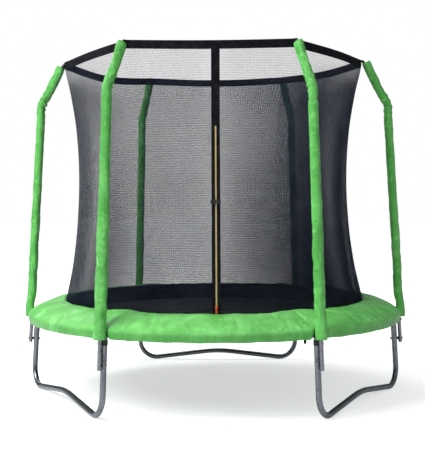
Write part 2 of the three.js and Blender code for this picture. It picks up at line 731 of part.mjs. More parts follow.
for (let i = 0; i < POLES; i += 1) {
  const a = FIRST_POLE + i * SECTOR;
  const n = i + 1;
  add(`top_rail_${n}`, rail(a), COLOURS.steel, 0.4, 0.9);
  add(`leg_upright_${n}`, upright(a), COLOURS.steel, 0.4, 0.9);
  add(`pole_lower_${n}`, poleLower(a), COLOURS.steel, 0.4, 0.9);
  add(`pole_upper_${n}`, poleUpper(a), COLOURS.steel, 0.4, 0.9);
  add(`pole_sleeve_${n}`, sleeve(a), COLOURS.green, 0.5);
  add(`clamp_lower_${n}`, clamp('lower', a), COLOURS.plastic, 0.5);
  add(`clamp_upper_${n}`, clamp('upper', a), COLOURS.plastic, 0.5);
  add(`spring_bank_${n}`, springBank(a), COLOURS.steel, 0.35, 0.9);
}
for (let i = 0; i < POLES / 2; i += 1) {
  add(`leg_base_${i + 1}`, legBase(FIRST_POLE + SECTOR / 2 + 2 * i * SECTOR), COLOURS.steel, 0.4, 0.9);
}
add('jumping_mat', mat(), COLOURS.black, 0.8);
add('spring_pad', pad(), COLOURS.green, 0.5);
add('safety_net', net(), COLOURS.mesh, 0.9);
add('top_band', topBand(), COLOURS.black, 0.8);
add('door_strip', doorStrip(), COLOURS.black, 0.8);
add('zip_slider', onDoor(slider(), SLIDER_Z), COLOURS.orange, 0.4);
add('zip_pull', onDoor(pullTab(), SLIDER_Z), COLOURS.orange, 0.4);
add('buckle_socket', onDoor(buckleSocket(), BUCKLE_Z), COLOURS.plastic, 0.5);
add('buckle_insert', onDoor(buckleInsert(), BUCKLE_Z), COLOURS.plastic, 0.5);

export default group;
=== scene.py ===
import json
import math

import bmesh
import bpy
from mathutils import Matrix, Vector, noise


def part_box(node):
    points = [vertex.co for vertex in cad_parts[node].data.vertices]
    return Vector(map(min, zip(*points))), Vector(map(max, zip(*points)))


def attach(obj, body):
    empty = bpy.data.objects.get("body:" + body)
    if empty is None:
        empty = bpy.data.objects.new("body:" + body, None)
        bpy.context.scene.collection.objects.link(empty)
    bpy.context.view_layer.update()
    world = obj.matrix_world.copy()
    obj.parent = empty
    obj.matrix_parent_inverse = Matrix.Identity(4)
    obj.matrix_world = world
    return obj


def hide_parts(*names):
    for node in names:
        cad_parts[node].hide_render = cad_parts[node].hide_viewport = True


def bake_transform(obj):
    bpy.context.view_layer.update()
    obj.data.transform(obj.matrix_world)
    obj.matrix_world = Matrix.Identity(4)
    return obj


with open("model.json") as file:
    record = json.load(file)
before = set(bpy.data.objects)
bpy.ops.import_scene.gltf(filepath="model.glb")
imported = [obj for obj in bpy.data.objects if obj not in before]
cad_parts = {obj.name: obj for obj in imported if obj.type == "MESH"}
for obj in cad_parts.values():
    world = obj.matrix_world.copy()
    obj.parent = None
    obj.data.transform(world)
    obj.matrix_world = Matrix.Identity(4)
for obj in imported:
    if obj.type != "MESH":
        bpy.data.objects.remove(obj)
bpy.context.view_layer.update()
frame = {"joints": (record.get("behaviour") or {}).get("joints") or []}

# ---------------------------------------------------------------- sizes, in metres
POLES = 6
SECTOR = 60.0
POLE_AZ = [30.0 + SECTOR * i for i in range(POLES)]
RING_R = 1.200                                  # the steel ring under the pad
RING_Z = 0.495
RAIL_R = 0.019
LEAN = math.radians(3.2)                        # legs and poles splay outwards downwards
LEG_R = 0.0175
SOCKET_END_Z = 0.335
BASE_TOP_Z = 0.188
FOOT_BEND_R = 0.125
CROWN_RISE = 0.050
CROWN_HALF = 0.110
POLE_OFFSET = 0.039
POLE_R = 0.0125
POLE_END_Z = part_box("pole_lower_1")[0].z
POLE_JOINT_Z = 1.150
KINK_Z = 1.885
KINK_R = 0.110
TOP_TILT = math.radians(29.0)                   # of the poles above their bend
TIP_R = 1.000
CAP_REACH = 0.018                               # bare steel ends this far short of the tip
SLEEVE_END_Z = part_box("pole_sleeve_1")[0].z
BOLT_Z = {"lower": 0.322, "upper": 0.447}
MAT_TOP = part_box("jumping_mat")[1].z
MAT_THICK = 0.0032
SPRING_Z = 0.497
SPRINGS_PER_BANK = 8
SPRING_STEP = SECTOR / SPRINGS_PER_BANK
NET_ZS = [0.502, 0.600, 0.720, 0.840, 1.085, 1.380, 1.700, 1.950, 2.122]
NET_AT_POLE = [0.986, 0.985, 0.960, 0.935, 0.902, 0.887, 0.902, 0.940, 0.979]
NET_MIDWAY = [0.986, 0.985, 0.955, 0.925, 0.888, 0.868, 0.868, 0.882, 0.897]
NET_WALL = 0.0016
NET_FOOT_Z = 0.6004
NET_BULGE = 0.018                               # further out on the side of azimuth -90
HEM_TOP_Z = 0.600
BAND_TOP_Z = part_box("top_band")[1].z
BAND_H = 0.050
BAND_SAGS = [0.008, 0.012, 0.012, 0.034, 0.010, 0.014]
BAND_CORNER_R = 0.982
BAND_CORNERS = [0.982, 0.988, 0.982, 0.982, 1.002, 0.982]
BAND_MID_R = 0.899
DOOR_AZ = 2.0
DOOR_LOW = (0.600, 0.985)
DOOR_HIGH = (1.700, 0.872)
DOOR_FLAT = 5.0
DOOR_FADE = 18.0
STRIP_W = 0.050
STRIP_GAP = 0.0014
STRIP_T = 0.0016
ZIP_ZS = (0.625, 1.680)
SLIDER_Z = 0.638
BUCKLE_Z = 1.240
BUCKLE_Y = -0.018                               # in front of the tape, so that the slider passes
PAD_INNER_R = 0.994
NOTCH_Z = 0.519
SKIRT_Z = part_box("spring_pad")[0].z


def at(r, z, azimuth, t=0.0):
    """The point at radius r and height z on an azimuth from the door side, moved t along the tangent."""
    s, c = math.sin(math.radians(azimuth)), math.cos(math.radians(azimuth))
    return Vector((r * s + t * c, -r * c + t * s, z))


def smooth(x):
    x = max(0.0, min(1.0, x))
    return x * x * (3 - 2 * x)


def turned(a, b):
    """Signed degrees from azimuth b to azimuth a."""
    return (a - b + 180.0) % 360.0 - 180.0


def azimuth_of(co):
    return math.degrees(math.atan2(co.x, -co.y))


def from_pole(azimuth, shift=0.0):
    """Degrees from the nearest pole, or from the line that stands shift past it."""
    return min(abs(turned(azimuth, p + shift)) for p in POLE_AZ)


def ring_noise(azimuth, scale, level):
    """Noise that closes on itself round the axis."""
    a = math.radians(azimuth)
    return noise.noise(Vector((math.cos(a) * scale, math.sin(a) * scale, level)))


def tangents(points):
    """The direction of a path at each of its points."""
    last = len(points) - 1
    return [(points[min(i + 1, last)] - points[max(i - 1, 0)]).normalized() for i in range(last + 1)]


# ---------------------------------------------------------------- mesh helpers
def ring_matrix(point, side, out, rx, ry):
    """Places a unit circle at point: its x along side, its y along out."""
    along = side.cross(out)
    m = Matrix((side * rx, out * ry, along)).transposed().to_4x4()
    m.translation = point
    return m


def sweep(bm, matrices, sides, turn=0.0, closed=False, caps=True):
    """Extrudes a circle of the given sides through the matrices, and returns its rings of vertices."""
    first = matrices[0] @ Matrix.Rotation(turn, 4, "Z")
    verts = bmesh.ops.create_circle(bm, segments=sides, radius=1.0, matrix=first)["verts"]
    inside = set(verts)
    edges = [e for e in {e for v in verts for e in v.link_edges} if inside.issuperset(e.verts)]
    start, rings = edges, [verts]
    for before, after in zip(matrices, matrices[1:]):
        made = bmesh.ops.extrude_edge_only(bm, edges=edges)["geom"]
        verts = [g for g in made if isinstance(g, bmesh.types.BMVert)]
        inside = set(verts)
        edges = [g for g in made if isinstance(g, bmesh.types.BMEdge) and inside.issuperset(g.verts)]
        bmesh.ops.transform(bm, matrix=after @ before.inverted(), verts=verts)
        rings.append(verts)
    if closed:
        bmesh.ops.bridge_loops(bm, edges=list(start) + list(edges))
    elif caps:
        bmesh.ops.holes_fill(bm, edges=list(start) + list(edges), sides=0)
    return rings


def piece(name, bm, materials, body=None, replaces=(), smooth_shade=True, recalc=True):
    """Turns a finished bmesh into an object in its place."""
    if recalc:
        bmesh.ops.recalc_face_normals(bm, faces=bm.faces)
    mesh = bpy.data.meshes.new(name)
    bm.to_mesh(mesh)
    bm.free()
    for m in materials:
        mesh.materials.append(m)
    obj = bpy.data.objects.new(name, mesh)
    bpy.context.scene.collection.objects.link(obj)
    if smooth_shade:
        mesh.shade_smooth()
        if not CRISP.isdisjoint(materials):
            mesh.set_sharp_from_angle(angle=math.radians(38))
    if body:
        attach(obj, body)
    for node in replaces:
        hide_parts(node)
    return obj


def box(bm, size, centre, matrix=Matrix.Identity(4), bevel=0.0):
    made = bmesh.ops.create_cube(bm, size=1.0)["verts"]
    bmesh.ops.scale(bm, vec=size, verts=made)
    bmesh.ops.translate(bm, vec=centre, verts=made)
    if bevel > 0:
        edges = list({e for v in made for e in v.link_edges})
        made = bmesh.ops.bevel(bm, geom=edges, offset=bevel, segments=2, profile=0.5,
                               affect="EDGES", material=-1)["verts"]
        made = list({v for f in {f for v in made for f in v.link_faces} for v in f.verts})
    bmesh.ops.transform(bm, matrix=matrix, verts=made)
    return made


def disc_stack(bm, matrix, stack, sides):
    """A turned part along the matrix's z: pairs of height and radius."""
    rings = [matrix @ Matrix.Translation((0, 0, h)) @ Matrix.Diagonal((r, r, 1, 1)) for h, r in stack]
    return sweep(bm, rings, sides)


def settle(bm, hold, slack, pressure, frames, cap, bend=0.4):
    """Lets cloth settle over the form from its held points, each point staying within cap of its start."""
    scene = bpy.context.scene
    mesh = bpy.data.meshes.new("settling")
    bm.verts.index_update()
    bm.to_mesh(mesh)
    obj = bpy.data.objects.new("settling", mesh)
    scene.collection.objects.link(obj)
    held = obj.vertex_groups.new(name="held")
    for v in bm.verts:
        weight = hold.get(v.index, 1.0)
        if weight:
            held.add([v.index], weight, "REPLACE")
    cloth = obj.modifiers.new("settling", "CLOTH")
    fabric = cloth.settings
    fabric.quality = 4
    fabric.mass = 0.2
    fabric.tension_stiffness = fabric.compression_stiffness = 12.0
    fabric.shear_stiffness = 4.0
    fabric.bending_stiffness = bend
    fabric.vertex_group_mass = "held"
    fabric.shrink_min = slack
    fabric.use_pressure = True
    fabric.uniform_pressure_force = pressure
    fabric.effector_weights.gravity = 0.0
    cloth.collision_settings.use_collision = False
    cloth.collision_settings.use_self_collision = False
    cloth.point_cache.frame_start = 1
    cloth.point_cache.frame_end = frames
    for f in range(1, frames + 1):
        scene.frame_set(f)
    settled = obj.evaluated_get(bpy.context.evaluated_depsgraph_get()).data
    for v in bm.verts:
        move = settled.vertices[v.index].co - v.co
        if move.length > 1e-7:
            v.co += move * (cap * math.tanh(move.length / cap) / move.length)
    bpy.data.objects.remove(obj)
    bpy.data.meshes.remove(mesh)
    scene.frame_set(1)


# ---------------------------------------------------------------- lines of the frame
def lean_station(z, offset=0.0):
    c, s = math.cos(LEAN), math.sin(LEAN)
    return (RING_R + (RING_Z - z) * s / c + offset / c, z, c, s)


def pole_station(z):
    return lean_station(z, POLE_OFFSET)


def pole_line(low, top_r, step):
    """Stations of the pole from height low, round the bend, to radius top_r, about step apart."""
    kink = pole_station(KINK_Z)
    reach = KINK_R * math.tan((TOP_TILT - LEAN) / 2)
    start = (kink[0] + reach * math.sin(LEAN), kink[1] - reach * math.cos(LEAN))
    line = []
    count = max(2, int((start[1] - low) / step))
    for i in range(count):
        line.append(pole_station(low + (start[1] - low) * i / count))
    centre = (start[0] - KINK_R * math.cos(LEAN), start[1] - KINK_R * math.sin(LEAN))
    turns = max(6, int(KINK_R * (TOP_TILT - LEAN) / step))
    for i in range(turns + 1):
        tilt = LEAN + (TOP_TILT - LEAN) * i / turns
        line.append((centre[0] + KINK_R * math.cos(tilt), centre[1] + KINK_R * math.sin(tilt),
                     math.cos(tilt), math.sin(tilt)))
    r0, z0, nr, nz = line[-1]
    run = (r0 - top_r) / math.sin(TOP_TILT)
    count = max(2, int(run / step))
    for i in range(1, count + 1):
        along = run * i / count
        line.append((r0 - along * math.sin(TOP_TILT), z0 + along * math.cos(TOP_TILT), nr, nz))
    return line


def station_matrix(station, azimuth, rx, ry, along=0.0):
    r, z, nr, nz = station
    side = at(0, 0, azimuth, 1.0)
    out = at(nr, nz, azimuth)
    m = ring_matrix(at(r, z, azimuth), side, out, rx, ry)
    if along:
        m.translation += Vector((at(-nz, nr, azimuth))) * along
    return m


# ---------------------------------------------------------------- materials
class Look:
    """A material being made. Its methods add nodes and return their outputs."""

    def __init__(self, name):
        self.material = bpy.data.materials.new(name)
        self.material.use_nodes = True
        tree = self.material.node_tree
        self.nodes, self.link = tree.nodes, tree.links.new
        self.bsdf = self.nodes["Principled BSDF"]
        self.where = self.nodes.new("ShaderNodeTexCoord").outputs["Object"]

    def put(self, socket, value, target=None):
        """Gives an input of the shader, or of the target node, a value or another node's output."""
        taker = (target or self.bsdf).inputs[socket]
        if isinstance(value, bpy.types.NodeSocket):
            self.link(value, taker)
        else:
            taker.default_value = value

    def node(self, kind, inputs=(), **settings):
        made = self.nodes.new(kind)
        for name, value in settings.items():
            setattr(made, name, value)
        for socket, value in inputs:
            self.put(socket, value, made)
        return made

    def maths(self, kind, *values):
        return self.node("ShaderNodeMath", list(enumerate(values)), operation=kind).outputs[0]

    def wave(self, value, rate):
        return self.maths("SINE", self.maths("MULTIPLY", value, rate))

    def ramp(self, source, *stops):
        made = self.node("ShaderNodeValToRGB", [(0, source)])
        for element, (place, colour) in zip(made.color_ramp.elements, stops):
            element.position = place
            element.color = (*colour, 1.0)
        return made.outputs[0]

    def noise(self, scale, detail=3.0, rough=0.5):
        return self.node("ShaderNodeTexNoise", [("Scale", scale), ("Detail", detail), ("Roughness", rough),
                                                ("Vector", self.where)]).outputs["Fac"]

    def eased(self, value, start, end, low=0.0, high=1.0):
        """low at start, high at end, eased between them."""
        return self.node("ShaderNodeMapRange",
                         [("Value", value), ("From Min", start), ("From Max", end), ("To Min", low),
                          ("To Max", high)], interpolation_type="SMOOTHSTEP").outputs["Result"]

    def bumped(self, height, strength, distance):
        bump = self.node("ShaderNodeBump", [("Strength", strength), ("Distance", distance),
                                            ("Height", height)])
        self.put("Normal", bump.outputs[0])

    def around(self):
        """The azimuth round the vertical axis, in radians, then x, y and z."""
        x, y, z = self.node("ShaderNodeSeparateXYZ", [(0, self.where)]).outputs
        return self.maths("ARCTAN2", x, self.maths("MULTIPLY", y, -1.0)), x, y, z


def grey(v):
    return (v, v, v)


def steel(name, dark, light, rough):
    look = Look(name)
    spangle = look.node("ShaderNodeTexVoronoi", [("Scale", 140.0), ("Vector", look.where)], feature="F1")
    cloud = look.noise(9.0, 4.0)
    mixed = look.maths("MULTIPLY_ADD", spangle.outputs["Color"], 0.35, look.maths("MULTIPLY", cloud, 0.75))
    look.put("Base Color", look.ramp(mixed, (0.2, dark), (0.8, light)))
    look.put("Roughness", look.ramp(cloud, (0.25, grey(rough)), (0.75, grey(rough + 0.16))))
    look.bumped(look.noise(420.0, 2.0), 0.12, 0.0004)
    look.put("Metallic", 1.0)
    return look.material


def vinyl(name, deep, light, rough, folds, skirt=1.0):
    """Coated polyester: a fine scrim under a glossy skin, with soft creases, their hollows painted darker as
    shade, and the skirt painted darker as the shade under the pad's edge.

    folds gives the creases' scale, then the strength and the distance of the relief.
    """
    look = Look(name)
    azimuth, _, _, z = look.around()
    crease = look.node("ShaderNodeTexNoise", [("Scale", folds[0]), ("Detail", 4.0), ("Distortion", 0.8),
                                              ("Vector", look.where)],
                       noise_type="RIDGED_MULTIFRACTAL").outputs["Fac"]
    # the crease pattern also sets the tone, darker between its raised lines: painted shade in the hollows,
    # mixed with random cloud
    cloud = look.maths("MULTIPLY_ADD", crease, 0.45, look.maths("MULTIPLY", look.noise(6.0, 5.0, 0.6), 0.7))
    # below the pad's edge the colour is multiplied darker by skirt: painted shade under the overhang
    skirt_shade = look.node("ShaderNodeMix", data_type="RGBA", blend_type="MULTIPLY")
    look.put("Factor", look.eased(z, 0.535, 0.50), skirt_shade)
    look.put("A", look.ramp(cloud, (0.3, deep), (0.72, light)), skirt_shade)
    look.put("B", (skirt, skirt ** 0.6, skirt, 1.0), skirt_shade)
    look.put("Base Color", skirt_shade.outputs["Result"])
    look.put("Roughness", look.ramp(look.noise(22.0, 4.0), (0.3, grey(rough)), (0.7, grey(rough + 0.14))))
    scrim = look.maths("MULTIPLY", look.maths("ADD", look.wave(azimuth, 3600.0), look.wave(z, 3000.0)), 0.06)
    relief = look.maths("MULTIPLY_ADD", crease, 0.8,
                        look.maths("MULTIPLY_ADD", look.noise(34.0, 3.0), 0.5, scrim))
    look.bumped(relief, folds[1], folds[2])
    look.put("Coat Weight", 0.25)
    look.put("Coat Roughness", 0.3)
    return look.material


def webbing(name, dark, light):
    """Woven polyester tape: ribs across it and a slightly lighter, worn thread."""
    look = Look(name)
    azimuth, _, _, z = look.around()
    weave = look.maths("MULTIPLY", look.wave(z, 2 * math.pi / RIB_PITCH), look.wave(azimuth, 3000.0))
    mixed = look.maths("MULTIPLY_ADD", weave, 0.22, look.noise(30.0, 4.0))
    look.put("Base Color", look.ramp(mixed, (0.25, dark), (0.85, light)))
    look.put("Roughness", 0.88)
    look.put("Specular IOR Level", 0.07)
    look.bumped(weave, 0.4, 0.0006)
    return look.material


def netting(name):
    """Knitted black netting: threads round and up, open between them, the threads drawn wider at the back,
    most at the back right and low down, as painted shade.
    """
    look = Look(name)
    azimuth, x, y, z = look.around()
    wale = look.maths("ABSOLUTE", look.wave(azimuth, NET_WALES / 2))
    sway = look.maths("MULTIPLY", look.wave(azimuth, NET_WALES), 0.35)
    course = look.maths("MULTIPLY_ADD", z, math.pi / NET_COURSE, sway)
    course = look.maths("ABSOLUTE", look.maths("SINE", course))
    plain, back, back_right, back_low = NET_THREAD_AND_SHADE
    # wider threads at the back, the back right and low down: painted shade, the real knit is even
    painted_shade_density = look.maths("MULTIPLY_ADD", look.eased(x, -0.7, 0.7), back_right,
                       look.maths("MULTIPLY_ADD", look.eased(z, 1.9, 0.7), back_low, back))
    width = look.maths("MULTIPLY_ADD", painted_shade_density, look.eased(y, -0.5, 0.5), plain)
    sides = look.maths("MULTIPLY_ADD", look.eased(x, 0.5, 0.9), NET_SIDES[0],
                       look.maths("MULTIPLY", look.eased(x, -0.6, -0.95), NET_SIDES[1]))
    sides = look.maths("MULTIPLY", sides, look.eased(z, 2.12, 1.95))
    width = look.maths("MULTIPLY_ADD", sides, 0.4, width)
    thin = look.maths("MINIMUM", wale, course)
    knit = look.eased(thin, width, look.maths("ADD", width, 0.14), *NET_SOLID)
    stripe = look.maths("ABSOLUTE", look.wave(z, math.pi / NET_STRIPE))
    uneven = look.maths("MULTIPLY", look.noise(3.0, 3.0), 0.10)
    tone = look.maths("ADD", look.maths("MULTIPLY", stripe, -0.09),
                      look.maths("MULTIPLY_ADD", sides, 0.9, uneven))
    alpha = look.node("ShaderNodeMath", [(0, knit), (1, tone)], operation="ADD", use_clamp=True)
    look.put("Alpha", alpha.outputs[0])
    look.put("Base Color", look.ramp(look.noise(8.0, 4.0), (0.3, (0.011, 0.015, 0.026)),
                                     (0.7, (0.025, 0.031, 0.050))))
    look.put("Roughness", 0.8)
    look.put("Specular IOR Level", 0.02)
    look.bumped(thin, 0.1, 0.0004)
    return look.material


def woven_mat(name):
    look = Look(name)
    _, x, y, _ = look.around()
    weave = look.maths("MULTIPLY", look.wave(x, 1800.0), look.wave(y, 1800.0))
    cloud = look.noise(5.0, 5.0)
    mixed = look.maths("MULTIPLY_ADD", weave, 0.2, cloud)
    look.put("Base Color", look.ramp(mixed, (0.25, (0.004, 0.004, 0.006)), (0.9, (0.017, 0.017, 0.022))))
    look.put("Roughness", look.ramp(cloud, (0.3, grey(0.5)), (0.7, grey(0.68))))
    look.bumped(weave, 0.35, 0.0007)
    look.put("Specular IOR Level", 0.18)
    return look.material


def plastic(name, dark, light, rough, grain=260.0):
    look = Look(name)
    cloud = look.noise(45.0, 4.0)
    look.put("Base Color", look.ramp(cloud, (0.3, dark), (0.7, light)))
    look.put("Roughness", look.ramp(cloud, (0.3, grey(rough)), (0.7, grey(rough + 0.12))))
    look.bumped(look.noise(grain, 2.0), 0.15, 0.0005)
    return look.material


RIB_PITCH = 0.0018
NET_WALES = 1900
NET_COURSE = 0.0031
NET_STRIPE = 0.0145
NET_SOLID = (0.93, 0.06)                         # how solid the thread is, and the gap between threads
NET_THREAD_AND_SHADE = (0.07, 0.12, 0.40, 0.09)           # width: everywhere, then more at the back, back right and back low, this extra width being painted shade
NET_SIDES = (0.26, 0.22)                        # how much closer the right and the left side are

STEEL = steel("galvanised_steel", (0.13, 0.14, 0.16), (0.28, 0.295, 0.325), 0.24)
WIRE = steel("spring_wire", (0.36, 0.37, 0.39), (0.6, 0.61, 0.64), 0.25)
ZINC = steel("zinc_bolt", (0.26, 0.26, 0.27), (0.52, 0.52, 0.52), 0.3)
SLEEVE = vinyl("sleeve_green", (0.09, 0.50, 0.07), (0.25, 0.90, 0.21), 0.24, (17.0, 0.8, 0.012))
# the pad's last number darkens its skirt: painted shade under the pad's edge
PADDING = vinyl("pad_green", (0.13, 0.57, 0.10), (0.30, 0.92, 0.25), 0.26, (9.0, 0.6, 0.008), 0.50)
FOAM = plastic("foam_grey", (0.3, 0.3, 0.3), (0.42, 0.42, 0.42), 0.9, 90.0)
NET = netting("net_mesh")
TAPE = webbing("black_webbing", (0.003, 0.003, 0.005), (0.016, 0.016, 0.021))
MAT = woven_mat("mat_weave")
TEETH = plastic("zip_yellow", (0.66, 0.48, 0.17), (0.84, 0.66, 0.30), 0.4)
ORANGE = plastic("zip_orange", (0.6, 0.08, 0.012), (0.75, 0.14, 0.02), 0.35)
BLACK = plastic("black_plastic", (0.006, 0.006, 0.007), (0.02, 0.02, 0.022), 0.38)
CRISP = {STEEL, ZINC, BLACK}


# ---------------------------------------------------------------- frame pieces
def top_rail(n, azimuth):
    bm = bmesh.new()
    joint = math.degrees(0.0006 / RING_R)
    stops = [(azimuth - SECTOR / 2 + joint, 0.9), (azimuth - SECTOR / 2 + joint * 2, 1.0)]
    stops += [(azimuth - SECTOR / 2 + SECTOR * i / 24, 1.0) for i in range(1, 24)]
    stops += [(azimuth + SECTOR / 2 - joint * 2, 1.0), (azimuth + SECTOR / 2 - joint, 0.9),
              (azimuth + SECTOR / 2 + 0.6, 0.88)]
    sweep(bm, [ring_matrix(at(RING_R, RING_Z, a), at(1, 0, a), Vector((0, 0, 1)),
                           RAIL_R * k, RAIL_R * k) for a, k in stops], 28)
    # the welded leg socket, rolled at its mouth, with a bead where it meets the ring
    wall = 0.0012
    outside = [(SOCKET_END_Z, RAIL_R - 0.0008), (SOCKET_END_Z + 0.0012, RAIL_R + 0.0004),
               (SOCKET_END_Z + 0.006, RAIL_R + 0.0004), (SOCKET_END_Z + 0.009, RAIL_R),
               (0.472, RAIL_R), (0.4765, RAIL_R + 0.0026), (0.482, RAIL_R + 0.0032),
               (0.488, RAIL_R - 0.002)]
    inside = [(SOCKET_END_Z + 0.04, RAIL_R - wall - 0.0002), (SOCKET_END_Z, RAIL_R - wall - 0.0002)]
    sweep(bm, [station_matrix(lean_station(z), azimuth, r, r) for z, r in outside + inside], 28,
          closed=True)
    piece(f"rail_{n}", bm, [STEEL], "frame", [f"top_rail_{n}"])


def leg_upright(n, azimuth):
    bm = bmesh.new()
    line = [(BASE_TOP_Z + 0.0004, LEG_R - 0.0008), (BASE_TOP_Z + 0.0014, LEG_R), (0.30, LEG_R),
            (0.45, LEG_R)]
    sweep(bm, [station_matrix(lean_station(z), azimuth, r, r) for z, r in line], 28)
    piece(f"leg_{n}", bm, [STEEL], "frame", [f"leg_upright_{n}"])


def base_line(steps):
    """Half of a W base as (u, v) points: down the leg, round the foot, up to the crown."""
    def foot(z):
        r = lean_station(z)[0]
        return r * math.sin(math.radians(SECTOR / 2)), r * math.cos(math.radians(SECTOR / 2)), z
    top, ground = foot(BASE_TOP_Z), foot(LEG_R)
    run = math.hypot(ground[1] - top[1], ground[2] - top[2])
    splay = math.atan2(ground[0] - top[0], run)
    slope = math.atan2(CROWN_RISE, ground[0] - FOOT_BEND_R - CROWN_HALF / 2)
    low = ground[0] - FOOT_BEND_R * (math.tan(splay) + 1 / math.cos(splay))
    half = [(top[0], run)]
    turn = math.pi / 2 + slope + splay
    for i in range(steps + 1):
        t = splay - turn * i / steps
        half.append((low + FOOT_BEND_R * math.cos(t), FOOT_BEND_R + FOOT_BEND_R * math.sin(t)))
    crown = half[-1][1] + math.tan(slope) * (half[-1][0] - CROWN_HALF)
    for i in range(steps):
        f = i / steps
        half.append((CROWN_HALF * (1 - f), crown + math.tan(slope) * CROWN_HALF * (f - f * f / 2)))
    return half, (0.0, crown + math.tan(slope) * CROWN_HALF / 2), top, ground, run


def leg_base(n, mid):
    half, crown, top, ground, run = base_line(12)
    line = half + [crown] + [(-u, v) for u, v in reversed(half)]

    def place(u, v):
        t = v / run
        return at(ground[1] + (top[1] - ground[1]) * t, ground[2] + (top[2] - ground[2]) * t, mid, u)

    normal = (place(0, 1) - place(0, 0)).cross(at(0, 0, mid, 1.0)).normalized()
    points = [place(u, v) for u, v in line]
    matrices = []
    for p, along in zip(points, tangents(points)):
        matrices.append(ring_matrix(p, normal, normal.cross(along).normalized(), LEG_R, LEG_R))
    matrices = [matrices[0] @ Matrix.Diagonal((0.97, 0.97, 1, 1))] + matrices
    matrices += [matrices[-1] @ Matrix.Diagonal((0.97, 0.97, 1, 1))]
    matrices[0].translation += (points[0] - points[1]).normalized() * 0.0006
    matrices[-1].translation += (points[-1] - points[-2]).normalized() * 0.0006
    bm = bmesh.new()
    sweep(bm, matrices, 28)
    piece(f"w_base_{n}", bm, [STEEL], "frame", [f"leg_base_{n}"])


def pole(n, azimuth):
    bm = bmesh.new()
    bore = POLE_R - 0.0013
    line = [(POLE_END_Z + 0.005, POLE_R - 0.0004), (POLE_END_Z + 0.006, POLE_R), (0.6, POLE_R),
            (POLE_JOINT_Z - 0.0012, POLE_R), (POLE_JOINT_Z - 0.0004, POLE_R - 0.0006)]
    inner = [(POLE_JOINT_Z - 0.0004, bore), (POLE_END_Z + 0.005, bore)]
    sweep(bm, [station_matrix(pole_station(z), azimuth, r, r) for z, r in line + inner], 24,
          closed=True)
    piece(f"pole_low_{n}", bm, [STEEL], "frame", [f"pole_lower_{n}"])
    bm = bmesh.new()
    line = pole_line(POLE_JOINT_Z, TIP_R + CAP_REACH, 0.012)
    if len(line) > 80:
        line = [line[0]] + line[60:]
    sweep(bm, [station_matrix(s, azimuth, POLE_R, POLE_R) for s in line], 24)
    piece(f"pole_top_{n}", bm, [STEEL], "frame", [f"pole_upper_{n}"])
    tip = pole_line(POLE_JOINT_Z, TIP_R, 0.05)[-1]
    bm = bmesh.new()
    profile = [(-0.050, 0.0129), (-0.0495, 0.0138), (-0.024, 0.0138), (-0.018, 0.0122),
               (-0.010, 0.0090), (-0.003, 0.0078), (-0.0006, 0.0066), (0.0, 0.004)]
    sweep(bm, [station_matrix(tip, azimuth, r, r, along) for along, r in profile], 24)
    piece(f"pole_cap_{n}", bm, [BLACK], "frame", [])


def clamp(level, n, azimuth):
    """A bolt through the pole, its black spacer and the leg, with washers and a nut."""
    leg_r = RAIL_R if level == "upper" else LEG_R
    station = pole_station(BOLT_Z[level])
    r, z, nr, nz = station
    out = at(nr, nz, azimuth)
    side = at(0, 0, azimuth, 1.0)
    m = Matrix((side, out.cross(side), out)).transposed().to_4x4()
    m.translation = at(r, z, azimuth)
    bm = bmesh.new()
    hex_r, nut_r = 0.0072, 0.0076
    head = POLE_R + 0.0003
    near = -POLE_OFFSET + leg_r + 0.0003
    far = -POLE_OFFSET - leg_r - 0.0003
    disc_stack(bm, m, [(head, 0.0088), (head + 0.0012, 0.0088)], 20)
    disc_stack(bm, m, [(head + 0.0012, hex_r), (head + 0.0048, hex_r), (head + 0.0056, hex_r - 0.001)], 6)
    disc_stack(bm, m, [(far - 0.0104, 0.0032), (far - 0.010, 0.004), (head, 0.004)], 12)
    disc_stack(bm, m, [(far - 0.0012, 0.0088), (far, 0.0088)], 20)
    disc_stack(bm, m, [(far - 0.0082, nut_r - 0.001), (far - 0.0074, nut_r), (far - 0.0012, nut_r)], 6)
    metal = len(bm.faces)
    disc_stack(bm, m, [(near - 0.001, 0.0082), (near, 0.0096), (near + 0.003, 0.0098),
                       (-head - 0.003, 0.0098), (-head, 0.0096), (-head + 0.001, 0.0082)], 24)
    # a black saddle round the leg socket, below the pad: partly the real spacer, partly painted shade under
    # the pad
    if level == "upper":
        saddle_and_shade = [(-0.016, RAIL_R + 0.0008), (-0.0145, RAIL_R + 0.0024), (0.0145, RAIL_R + 0.0024),
                 (0.016, RAIL_R + 0.0008), (0.016, RAIL_R + 0.0002), (-0.016, RAIL_R + 0.0002)]
        sweep(bm, [station_matrix(lean_station(BOLT_Z[level]), azimuth, k, k, h) for h, k in saddle_and_shade], 28,
              closed=True)
    bm.faces.ensure_lookup_table()
    for f in bm.faces[metal:]:
        f.material_index = 1
    obj = piece(f"bolt_{level}_{n}", bm, [ZINC, BLACK], "frame", [f"clamp_{level}_{n}"],
                smooth_shade=False)
    obj.data.shade_smooth()
    edges = obj.modifiers.new("crisp", "EDGE_SPLIT")
    edges.split_angle = math.radians(35)


# ---------------------------------------------------------------- sleeves
SLEEVE_SIDES = 48
# how wide each cover lies against the plain oval, at its foot and at its top
SLEEVE_WIDE = [(1.12, 0.90), (1.14, 1.12), (1.02, 1.0), (1.04, 1.0), (1.0, 1.04), (1.24, 0.96)]
SLEEVE_TOPS = [1.012, 1.008, 1.016, 1.016, 1.018, 1.011]
SLEEVE_HALF = [(0.469, 0.030, 0.043, 0.016), (0.548, 0.030, 0.043, 0.016), (0.640, 0.029, 0.035, 0.024),
               (1.830, 0.028, 0.029, 0.027), (2.000, 0.028, 0.031, 0.026), (2.070, 0.028, 0.034, 0.024),
               (2.160, 0.030, 0.042, 0.016)]


def sleeve_half(z):
    rows = SLEEVE_HALF
    for a, b in zip(rows, rows[1:]):
        if z <= b[0]:
            t = smooth((z - a[0]) / (b[0] - a[0]))
            return [p + (q - p) * t for p, q in zip(a[1:], b[1:])]
    return rows[-1][1:]


